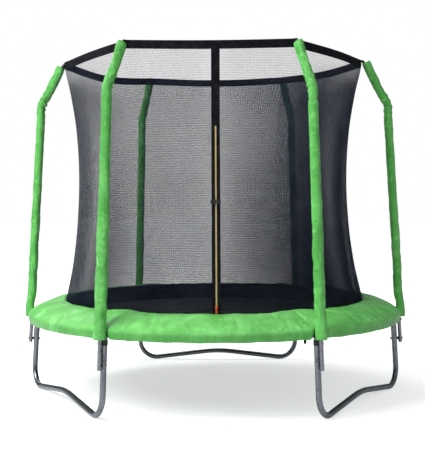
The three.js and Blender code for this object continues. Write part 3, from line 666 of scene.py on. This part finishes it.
def sleeve_creases(n, s, kink, phi):
    """How far the cover stands out, in metres, at length s and angle phi round sleeve n."""
    grow = 0.0
    k = s - kink
    for i, (place, depth, width, lean) in enumerate(
            [(-0.074, 0.0036, 0.012, 0.42), (-0.040, 0.0052, 0.010, -0.30), (-0.010, 0.0085, 0.009, 0.16),
             (0.022, 0.0070, 0.010, -0.34), (0.056, 0.0040, 0.013, 0.38), (0.105, 0.0024, 0.016, -0.5)]):
        shift = 0.008 * noise.noise(Vector((n * 3.7, i * 5.1, 0.3)))
        line = place + shift + lean * 0.028 * math.cos(phi + i * 1.9 + n)
        inner = 0.45 + 0.55 * smooth((0.4 - math.sin(phi)) / 1.2)
        grow -= depth * inner * math.exp(-((k - line) / width) ** 2)
        grow += 0.5 * depth * inner * math.exp(-((k - line - 0.017) / (width * 1.3)) ** 2)
    where = Vector((math.cos(phi) * 0.9 + n * 7.3, math.sin(phi) * 0.9, s * 9.0))
    grow += 0.0012 * noise.noise(where)
    near_bend = math.exp(-(k / 0.16) ** 2)
    twist = Vector((math.cos(phi + s * 5.0) * 1.6 + n * 4.1, math.sin(phi + s * 5.0) * 1.6, s * 26.0))
    fold = 1.0 - abs(noise.noise(twist * 0.8)) * 3.0
    grow += (0.0014 + 0.0022 * near_bend) * max(0.0, fold) - 0.0008
    calm = smooth((s - 0.01) / 0.08)
    return grow * (0.4 + 0.6 * calm)


def pole_sleeve(n, azimuth):
    line = pole_line(SLEEVE_END_Z, SLEEVE_TOPS[n - 1], 0.010)
    lengths = [0.0]
    for a, b in zip(line, line[1:]):
        lengths.append(lengths[-1] + math.hypot(b[0] - a[0], b[1] - a[1]))
    kink = next(s for s, p in zip(lengths, line) if p[1] > KINK_Z)
    top = lengths[-1]
    seam = math.radians([200, 335, 210, 330, 205, 340][n - 1])
    core = line[::6] + [line[-1]]
    bore = 0.0142
    matrices = [station_matrix(s, azimuth, 0.028, 0.028) for s in line]
    matrices += [station_matrix(s, azimuth, bore, bore) for s in reversed(core)]
    bm = bmesh.new()
    rings = sweep(bm, matrices, SLEEVE_SIDES, closed=True)
    bm.verts.index_update()
    step = 2 * math.pi / SLEEVE_SIDES
    for i, (station, s) in enumerate(zip(line, lengths)):
        side, outer, inner = sleeve_half(station[1])
        foot, head = SLEEVE_WIDE[n - 1]
        side *= foot + (head - foot) * smooth((station[1] - 0.55) / 1.5)
        m = station_matrix(station, azimuth, 1.0, 1.0)
        back = m.inverted()
        hem = 0.0016 * math.exp(-(min(s, top - s) / 0.006) ** 2)
        for v in rings[i]:
            local = back @ v.co
            phi = math.atan2(local.y, local.x)
            grow = sleeve_creases(n, s, kink, phi) - hem
            gap = abs((phi - seam + math.pi) % (2 * math.pi) - math.pi)
            if gap < step * 0.5:
                grow += 0.0022 + 0.0006 * math.sin(s * 900.0)
            depth = outer if math.sin(phi) > 0 else inner
            v.co = m @ Vector(((side + grow) * math.cos(phi), (depth + grow) * math.sin(phi), local.z))
    hold = {}
    for i, s in enumerate(lengths):
        near = min(s, top - s)
        for v in rings[i]:
            hold[v.index] = 1.0 if near < 0.012 else 0.0
    settle(bm, hold, slack=-0.022, pressure=0.8, frames=9, cap=0.0026)
    count = len(rings[0]) * (len(line) - 1)
    bm.faces.ensure_lookup_table()
    for f in bm.faces[count + SLEEVE_SIDES:]:
        f.material_index = 1
    obj = piece(f"sleeve_{n}", bm, [SLEEVE, FOAM], "frame", [f"pole_sleeve_{n}"])
    return obj


# ---------------------------------------------------------------- pad
PAD_STEPS = 600
PAD_TOP = range(4, 15)
PAD_SKIRT = range(19, 24)
PAD_PROFILE = [(0.994, 0.5850), (0.9935, 0.5930), (0.9945, 0.6000), (0.9990, 0.6035), (1.0080, 0.6020),
               (1.030, 0.5970), (1.055, 0.5905), (1.080, 0.5830), (1.105, 0.5745), (1.130, 0.5655),
               (1.155, 0.5560), (1.180, 0.5465), (1.200, 0.5390), (1.213, 0.5342), (1.2205, 0.5308),
               (1.2235, 0.5278), (1.2262, 0.5296), (1.2292, 0.5272), (1.2298, 0.5240),
               (1.2318, 0.5205), (1.2330, 0.5150), (1.2325, 0.5030), (1.2310, 0.4910),
               (1.2290, 0.4800), (1.2270, 0.4705), (1.2248, 0.4705), (1.2260, 0.4810),
               (1.2275, 0.4950), (1.2285, 0.5100),
               (1.2200, 0.5165), (1.190, 0.5180), (1.130, 0.5400), (1.060, 0.5620)]
PAD_SEAM_SHIFT = -1.6


def pad_move(r, z, azimuth):
    """Where a point of the plain pad ring goes: crowned panels, seams, wrinkles, skirt and notches."""
    off = from_pole(azimuth)
    seam_off = from_pole(azimuth, PAD_SEAM_SHIFT)
    top = smooth((z - 0.525) / 0.02) if r < 1.228 else 0.0
    under = r < 1.2292 and z < 0.5905 and z < 0.6035 - 0.36 * (r - 0.99) - 0.02
    panel = smooth(seam_off / 9.0)
    if not under:
        share = (r - PAD_INNER_R) / (1.224 - PAD_INNER_R)
        if 0 <= share <= 1:
            crown = math.sin(math.pi * share) ** 0.8
            z += 0.0075 * crown * (0.3 + 0.7 * panel)
            z -= 0.0085 * crown * math.exp(-(seam_off / 0.32) ** 2)
            z += 0.0030 * crown * math.exp(-((seam_off - 0.95) / 0.45) ** 2)
    rim = smooth((1.06 - r) / 0.06)
    z += 0.012 * rim * math.exp(-(off / 5.5) ** 2)
    a = math.radians(azimuth)
    ring = Vector((math.cos(a), math.sin(a), 0.0))
    soft = noise.noise(ring * 9.0 + Vector((0, 0, r * 5.0)))
    fine = noise.noise(ring * 26.0 + Vector((3.1, 0, r * 16.0)))
    fold = noise.noise(ring * 52.0 + Vector((0, 7.7, r * 9.0)))
    slant = Vector((azimuth * 0.16 + r * 14.0, r * 7.0 - azimuth * 0.03, 1.7))
    drape = max(0.0, 1.0 - 3.2 * abs(noise.noise(slant))) * (0.5 + noise.noise(ring * 5.0))
    if not under:
        z += top * (0.0042 * soft + 0.0026 * fine * (0.5 + share_of(r)) + 0.0016 * fold * share_of(r)
                    + 0.0048 * drape * math.sin(math.pi * min(1.0, max(0.0, (r - PAD_INNER_R) / 0.24))))
    skirt = smooth((0.520 - z) / 0.05)
    wave = math.sin(azimuth * 0.62 + 3.0 * soft) + 0.7 * noise.noise(ring * 21.0)
    if r > 1.2:
        r += -0.0016 + 0.0021 * wave * (0.25 + 0.75 * skirt) + 0.0016 * fold
        z += 0.0018 * wave * skirt
    notch = 1.0 - smooth((off - 1.35) / 0.75)
    if r > 1.2 and notch > 0:
        r -= (r - 1.2) * 0.56 * notch
        if z < NOTCH_Z:
            z += (NOTCH_Z + (z - SKIRT_Z) * 0.08 - z) * notch
    return r, z


def share_of(r):
    return smooth((r - 1.0) / 0.22)


def spring_pad():
    bm = bmesh.new()
    verts = [bm.verts.new(at(r, z, 0.0)) for r, z in PAD_PROFILE]
    edges = [bm.edges.new((a, b)) for a, b in zip(verts, verts[1:] + verts[:1])]
    bmesh.ops.spin(bm, geom=verts + edges, cent=(0, 0, 0), axis=(0, 0, 1), angle=2 * math.pi,
                   steps=PAD_STEPS, use_merge=True)
    bmesh.ops.remove_doubles(bm, verts=bm.verts, dist=1e-6)
    bm.verts.index_update()
    hold = {}
    for v in bm.verts:
        r = math.hypot(v.co.x, v.co.y)
        a = azimuth_of(v.co)
        row = min(range(len(PAD_PROFILE)), key=lambda i: math.dist(PAD_PROFILE[i], (r, v.co.z)))
        off = from_pole(a)
        seam = from_pole(a, PAD_SEAM_SHIFT)
        if row in PAD_TOP:
            hold[v.index] = 0.7 if seam < 0.4 else (0.5 if off < 2.4 and r > 1.19 else 0.0)
        elif row in PAD_SKIRT:
            hold[v.index] = 1.0 if off < 2.4 else 0.3
        r, z = pad_move(r, v.co.z, a)
        v.co = at(r, z, a)
    bmesh.ops.recalc_face_normals(bm, faces=bm.faces)
    settle(bm, hold, slack=-0.022, pressure=0.6, frames=14, cap=0.007, bend=1.2)
    obj = piece("pad_cover", bm, [PADDING], "frame", ["spring_pad"])
    soft = obj.modifiers.new("soft", "SUBSURF")
    soft.levels = soft.render_levels = 1
    return obj


def pad_ties():
    """Elastic loops that hold the pad to the ring, one beside each leg; one hangs below the skirt."""
    bm = bmesh.new()
    loop_r = 0.0204
    for i, p in enumerate(POLE_AZ):
        a = p - 4.2
        matrices = []
        for j in range(16):
            turn = 2 * math.pi * j / 16
            x, z = loop_r * math.cos(turn), loop_r * math.sin(turn)
            matrices.append(ring_matrix(at(RING_R + x, RING_Z + z, a), at(0, 0, a, 1.0),
                                        at(x, z, a).normalized(), 0.0085, 0.0009))
        sweep(bm, matrices, 4, math.pi / 4, closed=True)
        low = 0.449 if i == 0 else 0.474
        hang = [(0.512, 1.2140), (0.500, 1.2150), (0.480, 1.2160), (low, 1.2165)]
        sweep(bm, [ring_matrix(at(r, z, a), at(0, 0, a, 1.0), at(1, 0, a), 0.0110, 0.0016)
                   for z, r in hang], 4, math.pi / 4)
    piece("pad_ties", bm, [TAPE], "frame", [])


# ---------------------------------------------------------------- net and bands
def mid_share(a):
    return 1 - abs((a - 30.0) % SECTOR - SECTOR / 2) / (SECTOR / 2)


def band_edge(a):
    """The edge of the band that an azimuth is on, and how far along it."""
    place = ((a - 30.0) % 360.0) / SECTOR
    return int(place) % POLES, place - int(place)


def band_radius(a):
    edge, t = band_edge(a)
    corner = BAND_CORNERS[edge] * (1 - t) + BAND_CORNERS[(edge + 1) % POLES] * t
    half = math.radians(SECTOR / 2)
    delta = half * mid_share(a)
    chord = corner * math.cos(half) / math.cos(half - delta)
    bow = BAND_MID_R - corner * math.cos(half)
    return chord + bow * math.sin(math.pi / 2 * mid_share(a))


def band_sag(a):
    return BAND_SAGS[band_edge(a)[0]] * math.sin(math.pi / 2 * mid_share(a))


def through(xs, ys, x):
    """A smooth curve through the points, as a Catmull-Rom spline."""
    i = 0
    while i < len(xs) - 2 and x > xs[i + 1]:
        i += 1
    h = xs[i + 1] - xs[i]
    t = (x - xs[i]) / h

    def slope(j):
        a, b = max(j - 1, 0), min(j + 1, len(xs) - 1)
        return (ys[b] - ys[a]) / (xs[b] - xs[a])
    m0, m1 = slope(i) * h, slope(i + 1) * h
    return ((2 * t ** 3 - 3 * t ** 2 + 1) * ys[i] + (t ** 3 - 2 * t ** 2 + t) * m0
            + (3 * t ** 2 - 2 * t ** 3) * ys[i + 1] + (t ** 3 - t ** 2) * m1)


def net_radius(z, a):
    share = (band_radius(a) - BAND_MID_R) / (BAND_CORNER_R - BAND_MID_R)
    r = through(NET_ZS, NET_MIDWAY, z) * (1 - share) + through(NET_ZS, NET_AT_POLE, z) * share
    if HEM_TOP_Z < z < NET_ZS[-1]:
        height = (z - HEM_TOP_Z) / (NET_ZS[-1] - HEM_TOP_Z)
        r += NET_BULGE * math.sin(math.pi * height) * max(0.0, -math.sin(math.radians(a)))
    off = abs(turned(a, DOOR_AZ))
    if off < DOOR_FADE and DOOR_LOW[0] <= z < NET_ZS[-1]:
        w = 1 if off <= DOOR_FLAT else smooth((DOOR_FADE - off) / (DOOR_FADE - DOOR_FLAT))
        t = (z - DOOR_LOW[0]) / (DOOR_HIGH[0] - DOOR_LOW[0])
        straight = DOOR_LOW[1] + (DOOR_HIGH[1] - DOOR_LOW[1]) * t
        if t > 1:
            rise = (z - DOOR_HIGH[0]) / (NET_ZS[-1] - DOOR_HIGH[0])
            straight = DOOR_HIGH[1] + (BAND_MID_R - DOOR_HIGH[1]) * rise
        r += (straight - r) * w
    return r


NET_STEPS = 288


def spun(profile, closed, steps, move):
    """Turns a profile of radius and height round the axis, then moves each point by move(r, z, azimuth)."""
    bm = bmesh.new()
    verts = [bm.verts.new(at(r, z, 0.0)) for r, z in profile]
    pairs = list(zip(verts, verts[1:])) + ([(verts[-1], verts[0])] if closed else [])
    edges = [bm.edges.new(p) for p in pairs]
    bmesh.ops.spin(bm, geom=verts + edges, cent=(0, 0, 0), axis=(0, 0, 1), angle=2 * math.pi,
                   steps=steps, use_merge=True)
    bmesh.ops.remove_doubles(bm, verts=bm.verts, dist=1e-6)
    for v in bm.verts:
        a = azimuth_of(v.co)
        r, z = move(math.hypot(v.co.x, v.co.y), v.co.z, a)
        v.co = at(r, z, a)
    bmesh.ops.recalc_face_normals(bm, faces=bm.faces)
    if not closed:
        bm.faces.ensure_lookup_table()
        face = bm.faces[len(bm.faces) // 2]
        c = face.calc_center_median()
        if face.normal.dot(Vector((c.x, c.y, 0))) < 0:
            bmesh.ops.reverse_faces(bm, faces=bm.faces)
    return bm


def unmoved(r, z, a):
    return r, z


def net_move(r, z, a):
    """From the plain drum to the net: z runs from 0 at the foot to 1 at the band."""
    top = BAND_TOP_Z - BAND_H - band_sag(a) + 0.004
    level = NET_FOOT_Z + (top - NET_FOOT_Z) * z
    shaped = net_radius(min(level, NET_ZS[-1]), a)
    if level > NET_ZS[-1]:
        share = smooth((level - NET_ZS[-1]) / (top - NET_ZS[-1] + 1e-6))
        shaped += (band_radius(a) - 0.0015 - shaped) * share
    shaped += 0.0006 * ring_noise(a, 6, level * 3)
    return shaped + NET_WALL / 2, level


def safety_net():
    rows = 44
    bm = spun([(0.9, i / rows) for i in range(rows + 1)], False, NET_STEPS, net_move)
    bmesh.ops.solidify(bm, geom=bm.faces[:], thickness=NET_WALL)
    obj = piece("net", bm, [NET], None, ["safety_net"], recalc=False)
    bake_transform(obj)
    return obj


def net_hem():
    """The closely woven foot of the net, stitched to the edge of the mat."""
    levels = [0.5015, 0.506, 0.515, 0.530, 0.545, 0.560, 0.575, 0.590, 0.5965, 0.602, 0.6045]

    def move(r, z, a):
        wall = 0.0018 if 0.508 < z < 0.5995 else 0.0026
        ripple = 0.0015 * ring_noise(a, 14, z * 20)
        return net_radius(z, a) + (wall / 2 if r > 0.95 else -wall / 2) + ripple, z
    profile = [(0.99, z) for z in levels] + [(0.9, z) for z in reversed(levels)]
    bm = spun(profile, True, NET_STEPS, move)
    obj = piece("net_hem", bm, [TAPE], None, [])
    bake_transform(obj)
    return obj


def top_band():
    def move(r, z, a):
        top = BAND_TOP_Z - band_sag(a)
        share = z / BAND_H
        puff = 0.0012 * math.sin(math.pi * share)
        base = band_radius(a) + 0.0014 * ring_noise(a, 11, share)
        return (base + puff if r > 0.95 else base - 0.0034 - puff), top - BAND_H + z
    high = [0.0, 0.0015, 0.006, 0.012, 0.025, 0.038, 0.044, 0.0485, 0.050]
    profile = [(0.99, z) for z in high] + [(0.9, z) for z in reversed(high)]
    bm = spun(profile, True, 360, move)
    return piece("band", bm, [TAPE], "frame", ["top_band"])


def corner_straps():
    """A loop and a pocket of narrow webbing at each corner of the band, over the pole's cap."""
    bm = bmesh.new()
    loop = [(-0.0040, -0.040), (0.0040, -0.028), (0.0120, -0.016), (0.0165, -0.008), (0.0155, -0.0015),
            (0.0090, 0.0005), (0.0020, -0.004), (-0.0035, -0.012)]
    for a in POLE_AZ:
        path = [at(TIP_R - 0.0135 + x, BAND_TOP_Z - 0.001 + z, a) for x, z in loop]
        side = at(0, 0, a, 1.0)
        sweep(bm, [ring_matrix(p, side, along.cross(side).normalized(), 0.0098, 0.0012)
                   for p, along in zip(path, tangents(path))], 4, math.pi / 4)
        pocket = [at(TIP_R - 0.0135 + x, BAND_TOP_Z - 0.001 + z, a)
                  for x, z in ((-0.008, -0.011), (0.013, -0.0075))]
        sweep(bm, [ring_matrix(p, side, Vector((0, 0, 1)), 0.0125, 0.0092) for p in pocket], 4,
              math.pi / 4)
    return piece("corner_straps", bm, [TAPE], "frame", [], smooth_shade=False)


# ---------------------------------------------------------------- door
def door_face(z):
    return net_radius(min(z, NET_ZS[-1] - 0.001), DOOR_AZ) + NET_WALL / 2 + STRIP_GAP


def door_strip():
    bm = bmesh.new()
    count = 60
    low = 0.606
    high = BAND_TOP_Z - BAND_H - band_sag(DOOR_AZ) - 0.001
    side, out = at(0, 0, DOOR_AZ, 1.0), at(1, 0, DOOR_AZ)
    # the wide strip, then the two narrow tapes beside the teeth, sewn on its face
    for shift, half, lift, thick in ((0.0, STRIP_W / 2, 0.0, STRIP_T),
                                     (-0.0165, 0.0075, STRIP_T, 0.0009),
                                     (0.0165, 0.0075, STRIP_T, 0.0009)):
        matrices = []
        for i in range(count + 1):
            z = low + (high - low) * i / count
            p = at(door_face(z) + lift + thick / 2, z, DOOR_AZ, shift)
            matrices.append(ring_matrix(p, side, out, half * math.sqrt(2), thick / math.sqrt(2)))
        sweep(bm, matrices, 4, math.pi / 4)
    return piece("door_tape", bm, [TAPE], "frame", ["door_strip"], smooth_shade=False)


def zip_teeth():
    """Two interlocked rows of moulded teeth."""
    bm = bmesh.new()
    pitch = 0.0036
    count = int((ZIP_ZS[1] - ZIP_ZS[0]) / pitch)
    for i in range(count):
        z = ZIP_ZS[0] + pitch * (i + 0.5)
        r = door_face(z) + STRIP_T + 0.0009
        shift = 0.0018 if i % 2 else -0.0018
        turn = Matrix.Rotation(math.radians(DOOR_AZ), 4, "Z")
        place = Matrix.Translation(at(r, z, DOOR_AZ, shift)) @ turn
        box(bm, (0.0068, 0.0018, 0.0027), (0, 0, 0), place)
    return piece("zip_teeth", bm, [TEETH], "frame", [], smooth_shade=False)


def door_matrix(z):
    """x along the tangent, y in towards the mat, z up the zip, on the tape's face."""
    rise = Vector(next(j for j in frame["joints"] if j["name"] == "zip_slide")["axis"]).normalized()
    across = at(0, 0, DOOR_AZ, 1.0)
    m = Matrix((across, rise.cross(across), rise)).transposed().to_4x4()
    m.translation = at(door_face(z) + STRIP_T, z, DOOR_AZ)
    return m


PULL_HINGE = (0.034630, -0.991659, 0.634005)    # on the axis that the pull swings about


def zip_slider():
    m = door_matrix(SLIDER_Z)
    hinge = m.inverted() @ Vector(PULL_HINGE)
    bm = bmesh.new()
    box(bm, (0.014, 0.0014, 0.019), (0, -0.0037, 0), m, 0.0005)
    box(bm, (0.0026, 0.0040, 0.017), (-0.0055, -0.0022, -0.0005), m, 0.0006)
    box(bm, (0.0026, 0.0040, 0.017), (0.0055, -0.0022, -0.0005), m, 0.0006)
    for side in (-1, 1):
        box(bm, (0.0019, 0.0052, 0.0052), (side * 0.0037, hinge.y + 0.0011, hinge.z), m, 0.0007)
    pin = m @ Matrix.Translation((-0.0045, hinge.y, hinge.z)) @ Matrix.Rotation(math.pi / 2, 4, "Y")
    disc_stack(bm, pin, [(0, 0.0010), (0.009, 0.0010)], 10)
    return piece("slider", bm, [ORANGE], "slider", ["zip_slider"], smooth_shade=False)


def zip_pull():
    m = door_matrix(SLIDER_Z)
    hinge = m.inverted() @ Vector(PULL_HINGE)
    m = m @ Matrix.Translation((0, hinge.y, hinge.z))
    bm = bmesh.new()
    box(bm, (0.0038, 0.0018, 0.0116), (0, 0, -0.0075), m, 0.0005)
    grip = box(bm, (0.0125, 0.0024, 0.0165), (0, 0, -0.0185), m, 0.0009)
    for v in grip:
        local = m.inverted() @ v.co
        local.x *= 0.78 + 0.42 * smooth((-0.0102 - local.z) / 0.0166)
        v.co = m @ local
    box(bm, (0.0062, 0.0029, 0.0018), (0, 0, -0.0165), m, 0.0005)
    box(bm, (0.0062, 0.0029, 0.0018), (0, 0, -0.0205), m, 0.0005)
    eye = m @ Matrix.Translation((-0.0019, 0, 0)) @ Matrix.Rotation(math.pi / 2, 4, "Y")
    rings = [eye @ Matrix.Translation((0, 0, h)) @ Matrix.Diagonal((r, r, 1, 1))
             for h, r in ((0, 0.0022), (0.0038, 0.0022), (0.0038, 0.0013), (0, 0.0013))]
    sweep(bm, rings, 16, closed=True)
    return piece("pull", bm, [ORANGE], "pull", ["zip_pull"], smooth_shade=False)


def buckle_strap(bm, m, side, start):
    y = BUCKLE_Y
    fold = [(-0.003, y), (0.001, y + 0.0005), (0.0036, y + 0.004), (0.0040, -0.0075), (0.0020, -0.0036),
            (-0.002, -0.0018), (-0.013, -0.0012)]
    points = [Vector((start + side * x, yy, 0)) for x, yy in fold]
    up = Vector((0, 0, 1))
    matrices = [m @ ring_matrix(p, up, along.cross(up), 0.0138, 0.0010)
                for p, along in zip(points, tangents(points))]
    first = len(bm.faces)
    sweep(bm, matrices, 4, math.pi / 4)
    bm.faces.ensure_lookup_table()
    for f in bm.faces[first:]:
        f.material_index = 1


def buckle_halves():
    m = door_matrix(BUCKLE_Z)
    y = BUCKLE_Y
    bm = bmesh.new()
    for lift in (-1, 1):
        box(bm, (0.029, 0.0019, 0.0238), (-0.0142, y + lift * 0.004, 0), m, 0.0008)
        box(bm, (0.021, 0.0088, 0.0019), (-0.0102, y, lift * 0.0109), m, 0.0007)
    box(bm, (0.0062, 0.0096, 0.0238), (-0.0258, y, 0), m, 0.0012)
    buckle_strap(bm, m, -1, -0.027)
    piece("buckle_box", bm, [BLACK, TAPE], "frame", ["buckle_socket"], smooth_shade=False)
    bm = bmesh.new()
    box(bm, (0.023, 0.0096, 0.0236), (0.0137, y, 0), m, 0.0016)
    box(bm, (0.018, 0.0034, 0.0046), (-0.0065, y, 0), m, 0.0008)
    for side in (-1, 1):
        box(bm, (0.018, 0.0046, 0.0036), (-0.0065, y, side * 0.0075), m, 0.0010)
        box(bm, (0.0014, 0.0104, 0.0150), (0.0170 + side * 0.0028, y, 0), m, 0.0004)
    buckle_strap(bm, m, 1, 0.024)
    piece("buckle_tongue", bm, [BLACK, TAPE], "buckle", ["buckle_insert"],
          smooth_shade=False)


# ---------------------------------------------------------------- mat and springs
def jumping_mat():
    bottom = MAT_TOP - MAT_THICK
    profile = [(0.0004, MAT_TOP), (0.2, MAT_TOP), (0.5, MAT_TOP), (0.8, MAT_TOP), (0.945, MAT_TOP),
               (0.982, MAT_TOP), (0.9835, MAT_TOP - MAT_THICK / 2), (0.982, bottom), (0.945, bottom),
               (0.5, bottom), (0.0004, bottom)]
    bm = spun(profile, True, 192, unmoved)
    return piece("mat", bm, [MAT], "mat", ["jumping_mat"])


def mat_hem():
    """The doubled webbing border of the mat."""
    low = MAT_TOP - 0.0060
    profile = [(0.932, MAT_TOP + 0.0001), (0.934, MAT_TOP + 0.0014), (0.975, MAT_TOP + 0.0015),
               (0.9880, MAT_TOP + 0.0014), (0.9895, MAT_TOP - 0.002), (0.9880, low), (0.934, low),
               (0.932, low + 0.002)]
    bm = spun(profile, True, 192, unmoved)
    return piece("mat_border", bm, [TAPE], "mat", [])


def helix(bm, start, end, radius, wire, turns, hook_in, hook_out):
    """A close coil of wire along x from start to end, with a hook at each end."""
    points = []
    run = end - start
    for i in range(turns * 8 + 1):
        t = i / (turns * 8)
        turn = 2 * math.pi * turns * t
        points.append(Vector((start + run * t, radius * math.cos(turn), radius * math.sin(turn))))
    inner = [Vector((hook_in - 0.001, 0.0, -0.003)), Vector((hook_in - 0.0035, 0.0, 0.001)),
             Vector((hook_in, 0.0, 0.004)), Vector((start - 0.006, 0.003, 0.003))]
    outer = [Vector((end + 0.005, 0.003, 0.002)), Vector((hook_out - 0.006, 0.0, 0.002)),
             Vector((hook_out - 0.001, 0.0, 0.0)), Vector((hook_out, 0.0, -0.008))]
    points = inner + points + outer
    matrices = []
    for p, along in zip(points, tangents(points)):
        side = along.cross(Vector((0.13, 0.97, 0.2))).normalized()
        matrices.append(ring_matrix(p, side, along.cross(side).normalized(), wire, wire))
    sweep(bm, matrices, 5)


def spring_group(index, bank, azimuths):
    one = bmesh.new()
    helix(one, 1.016, 1.158, 0.0078, 0.0014, 15, 0.998, 1.180)
    mesh = bpy.data.meshes.new("spring_one")
    one.to_mesh(mesh)
    one.free()
    bm = bmesh.new()
    for a in azimuths:
        bm.from_mesh(mesh)
        bm.verts.ensure_lookup_table()
        fresh = bm.verts[len(bm.verts) - len(mesh.vertices):]
        m = Matrix.Translation((0, 0, SPRING_Z)) @ Matrix.Rotation(math.radians(a - 90.0), 4, "Z")
        bmesh.ops.transform(bm, matrix=m, verts=fresh)
    bpy.data.meshes.remove(mesh)
    obj = piece(f"springs_{index}", bm, [WIRE], None, [bank])
    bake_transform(obj)
    return obj


def springs():
    """Each bank of eight is two pieces of four springs."""
    for i, pole_az in enumerate(POLE_AZ):
        azimuths = [pole_az - SECTOR / 2 + SPRING_STEP * (k + 0.5) for k in range(SPRINGS_PER_BANK)]
        for half in (0, 1):
            spring_group(2 * i + half + 1, f"spring_bank_{i + 1}", azimuths[4 * half:4 * half + 4])


def mat_rings():
    """Triangular wire rings that hold the springs, in webbing tabs sewn to the border."""
    bm = bmesh.new()
    wire = 0.0018
    for k in range(POLES * SPRINGS_PER_BANK):
        a = SPRING_STEP * (k + 0.5)
        corners = [at(0.9965, SPRING_Z, a), at(0.9835, SPRING_Z, a, 0.017),
                   at(0.9835, SPRING_Z, a, -0.017)]
        for i in range(3):
            p, q = corners[i], corners[(i + 1) % 3]
            along = (q - p).normalized()
            up = Vector((0, 0, 1))
            side = along.cross(up)
            sweep(bm, [ring_matrix(p, side, up, wire, wire), ring_matrix(q, side, up, wire, wire)], 6)
    piece("mat_rings", bm, [WIRE], "mat", [])
    bm = bmesh.new()
    for k in range(POLES * SPRINGS_PER_BANK):
        a = SPRING_STEP * (k + 0.5)
        turn = Matrix.Translation(at(0.9735, MAT_TOP - 0.0030, a))
        turn @= Matrix.Rotation(math.radians(a), 4, "Z")
        box(bm, (0.030, 0.030, 0.0080), (0, 0, 0), turn, 0.0015)
    piece("mat_tabs", bm, [TAPE], "mat", [])


# ---------------------------------------------------------------- stage, light and camera
def floor():
    look = Look("pale_floor")
    look.put("Base Color", look.ramp(look.noise(0.7, 2.0), (0.3, grey(0.9)), (0.7, grey(0.93))))
    look.put("Roughness", 0.85)
    look.put("Specular IOR Level", 0.1)
    look.put("Emission Color", (1, 1, 1, 1))
    reach = look.node("ShaderNodeVectorMath", [(0, look.where)], operation="LENGTH")
    glow = look.eased(reach.outputs["Value"], 1.2, 4.5, 0.58, 0.71)
    seen = look.maths("MAXIMUM", look.node("ShaderNodeLightPath").outputs["Is Camera Ray"], 0.12)
    look.put("Emission Strength", look.maths("MULTIPLY", glow, seen))
    bm = bmesh.new()
    bmesh.ops.create_circle(bm, cap_ends=True, segments=96, radius=60.0)
    mesh = bpy.data.meshes.new("floor")
    bm.to_mesh(mesh)
    bm.free()
    mesh.materials.append(look.material)
    obj = bpy.data.objects.new("floor", mesh)
    bpy.context.scene.collection.objects.link(obj)


def area_light(name, place, target, size, power):
    light = bpy.data.lights.new(name, "AREA")
    light.shape = "RECTANGLE"
    light.size, light.size_y = size
    light.energy = power
    obj = bpy.data.objects.new(name, light)
    obj.location = place
    obj.rotation_euler = (Vector(target) - Vector(place)).to_track_quat("-Z", "Y").to_euler()
    bpy.context.scene.collection.objects.link(obj)


def lights():
    """The world is bright to the camera, dimmer as light, dimmest in reflections."""
    world = bpy.data.worlds.new("studio")
    bpy.context.scene.world = world
    world.use_nodes = True
    nodes, link = world.node_tree.nodes, world.node_tree.links.new
    path = nodes.new("ShaderNodeLightPath")

    def sky(colour, strength, shader=None):
        shader = shader or nodes.new("ShaderNodeBackground")
        shader.inputs["Color"].default_value = colour
        shader.inputs["Strength"].default_value = strength
        return shader

    def choose(ray, otherwise, chosen):
        mix = nodes.new("ShaderNodeMixShader")
        link(path.outputs[ray], mix.inputs[0])
        link(otherwise.outputs[0], mix.inputs[1])
        link(chosen.outputs[0], mix.inputs[2])
        return mix

    cool = (0.93, 0.96, 1.0, 1)
    gloss = choose("Is Glossy Ray", sky(cool, 0.36, nodes["Background"]), sky(cool, 0.22))
    mix = choose("Is Camera Ray", gloss, sky((1, 1, 1, 1), 1.0))
    link(mix.outputs[0], nodes["World Output"].inputs["Surface"])
    area_light("key", (-4.1, -3.3, 5.4), (0, 0, 0.7), (4.2, 4.2), 520)
    area_light("fill", (4.6, -3.0, 3.4), (0, 0, 0.9), (1.4, 2.4), 18)
    area_light("back", (-2.0, 4.2, 4.8), (0, 0, 0.6), (4.0, 1.6), 150)


def camera():
    data = bpy.data.cameras.new("camera")
    data.lens = 74.56
    data.sensor_width = 36.0
    obj = bpy.data.objects.new("camera", data)
    bpy.context.scene.collection.objects.link(obj)
    turn = Matrix.Rotation(math.radians(1.35), 3, "Z")
    yaw, pitch, roll = (math.radians(v) for v in (-0.055, -1.456, -0.218))
    look = Vector((math.sin(yaw) * math.cos(pitch), math.cos(yaw) * math.cos(pitch), math.sin(pitch)))
    right = look.cross(Vector((0, 0, 1))).normalized()
    up = right.cross(look)
    across = right * math.cos(roll) + up * math.sin(roll)
    upright = up * math.cos(roll) - right * math.sin(roll)
    m = Matrix((turn @ across, turn @ upright, turn @ -look)).transposed().to_4x4()
    m.translation = turn @ Vector((-0.0047, -6.2812, 1.2442))
    obj.matrix_world = m
    bpy.context.scene.camera = obj


camera()
lights()
floor()
bpy.context.scene.view_settings.view_transform = "Standard"

for index, pole_azimuth in enumerate(POLE_AZ):
    top_rail(index + 1, pole_azimuth)
    leg_upright(index + 1, pole_azimuth)
    pole(index + 1, pole_azimuth)
    clamp("lower", index + 1, pole_azimuth)
    clamp("upper", index + 1, pole_azimuth)
    pole_sleeve(index + 1, pole_azimuth)
for index in range(3):
    leg_base(index + 1, 60.0 + 120.0 * index)

spring_pad()
pad_ties()
net = safety_net()
hem = net_hem()
band = top_band()
corner_straps()
tape = door_strip()
teeth = zip_teeth()
zip_slider()
zip_pull()
buckle_halves()
mat = jumping_mat()
border = mat_hem()
mat_rings()
springs()
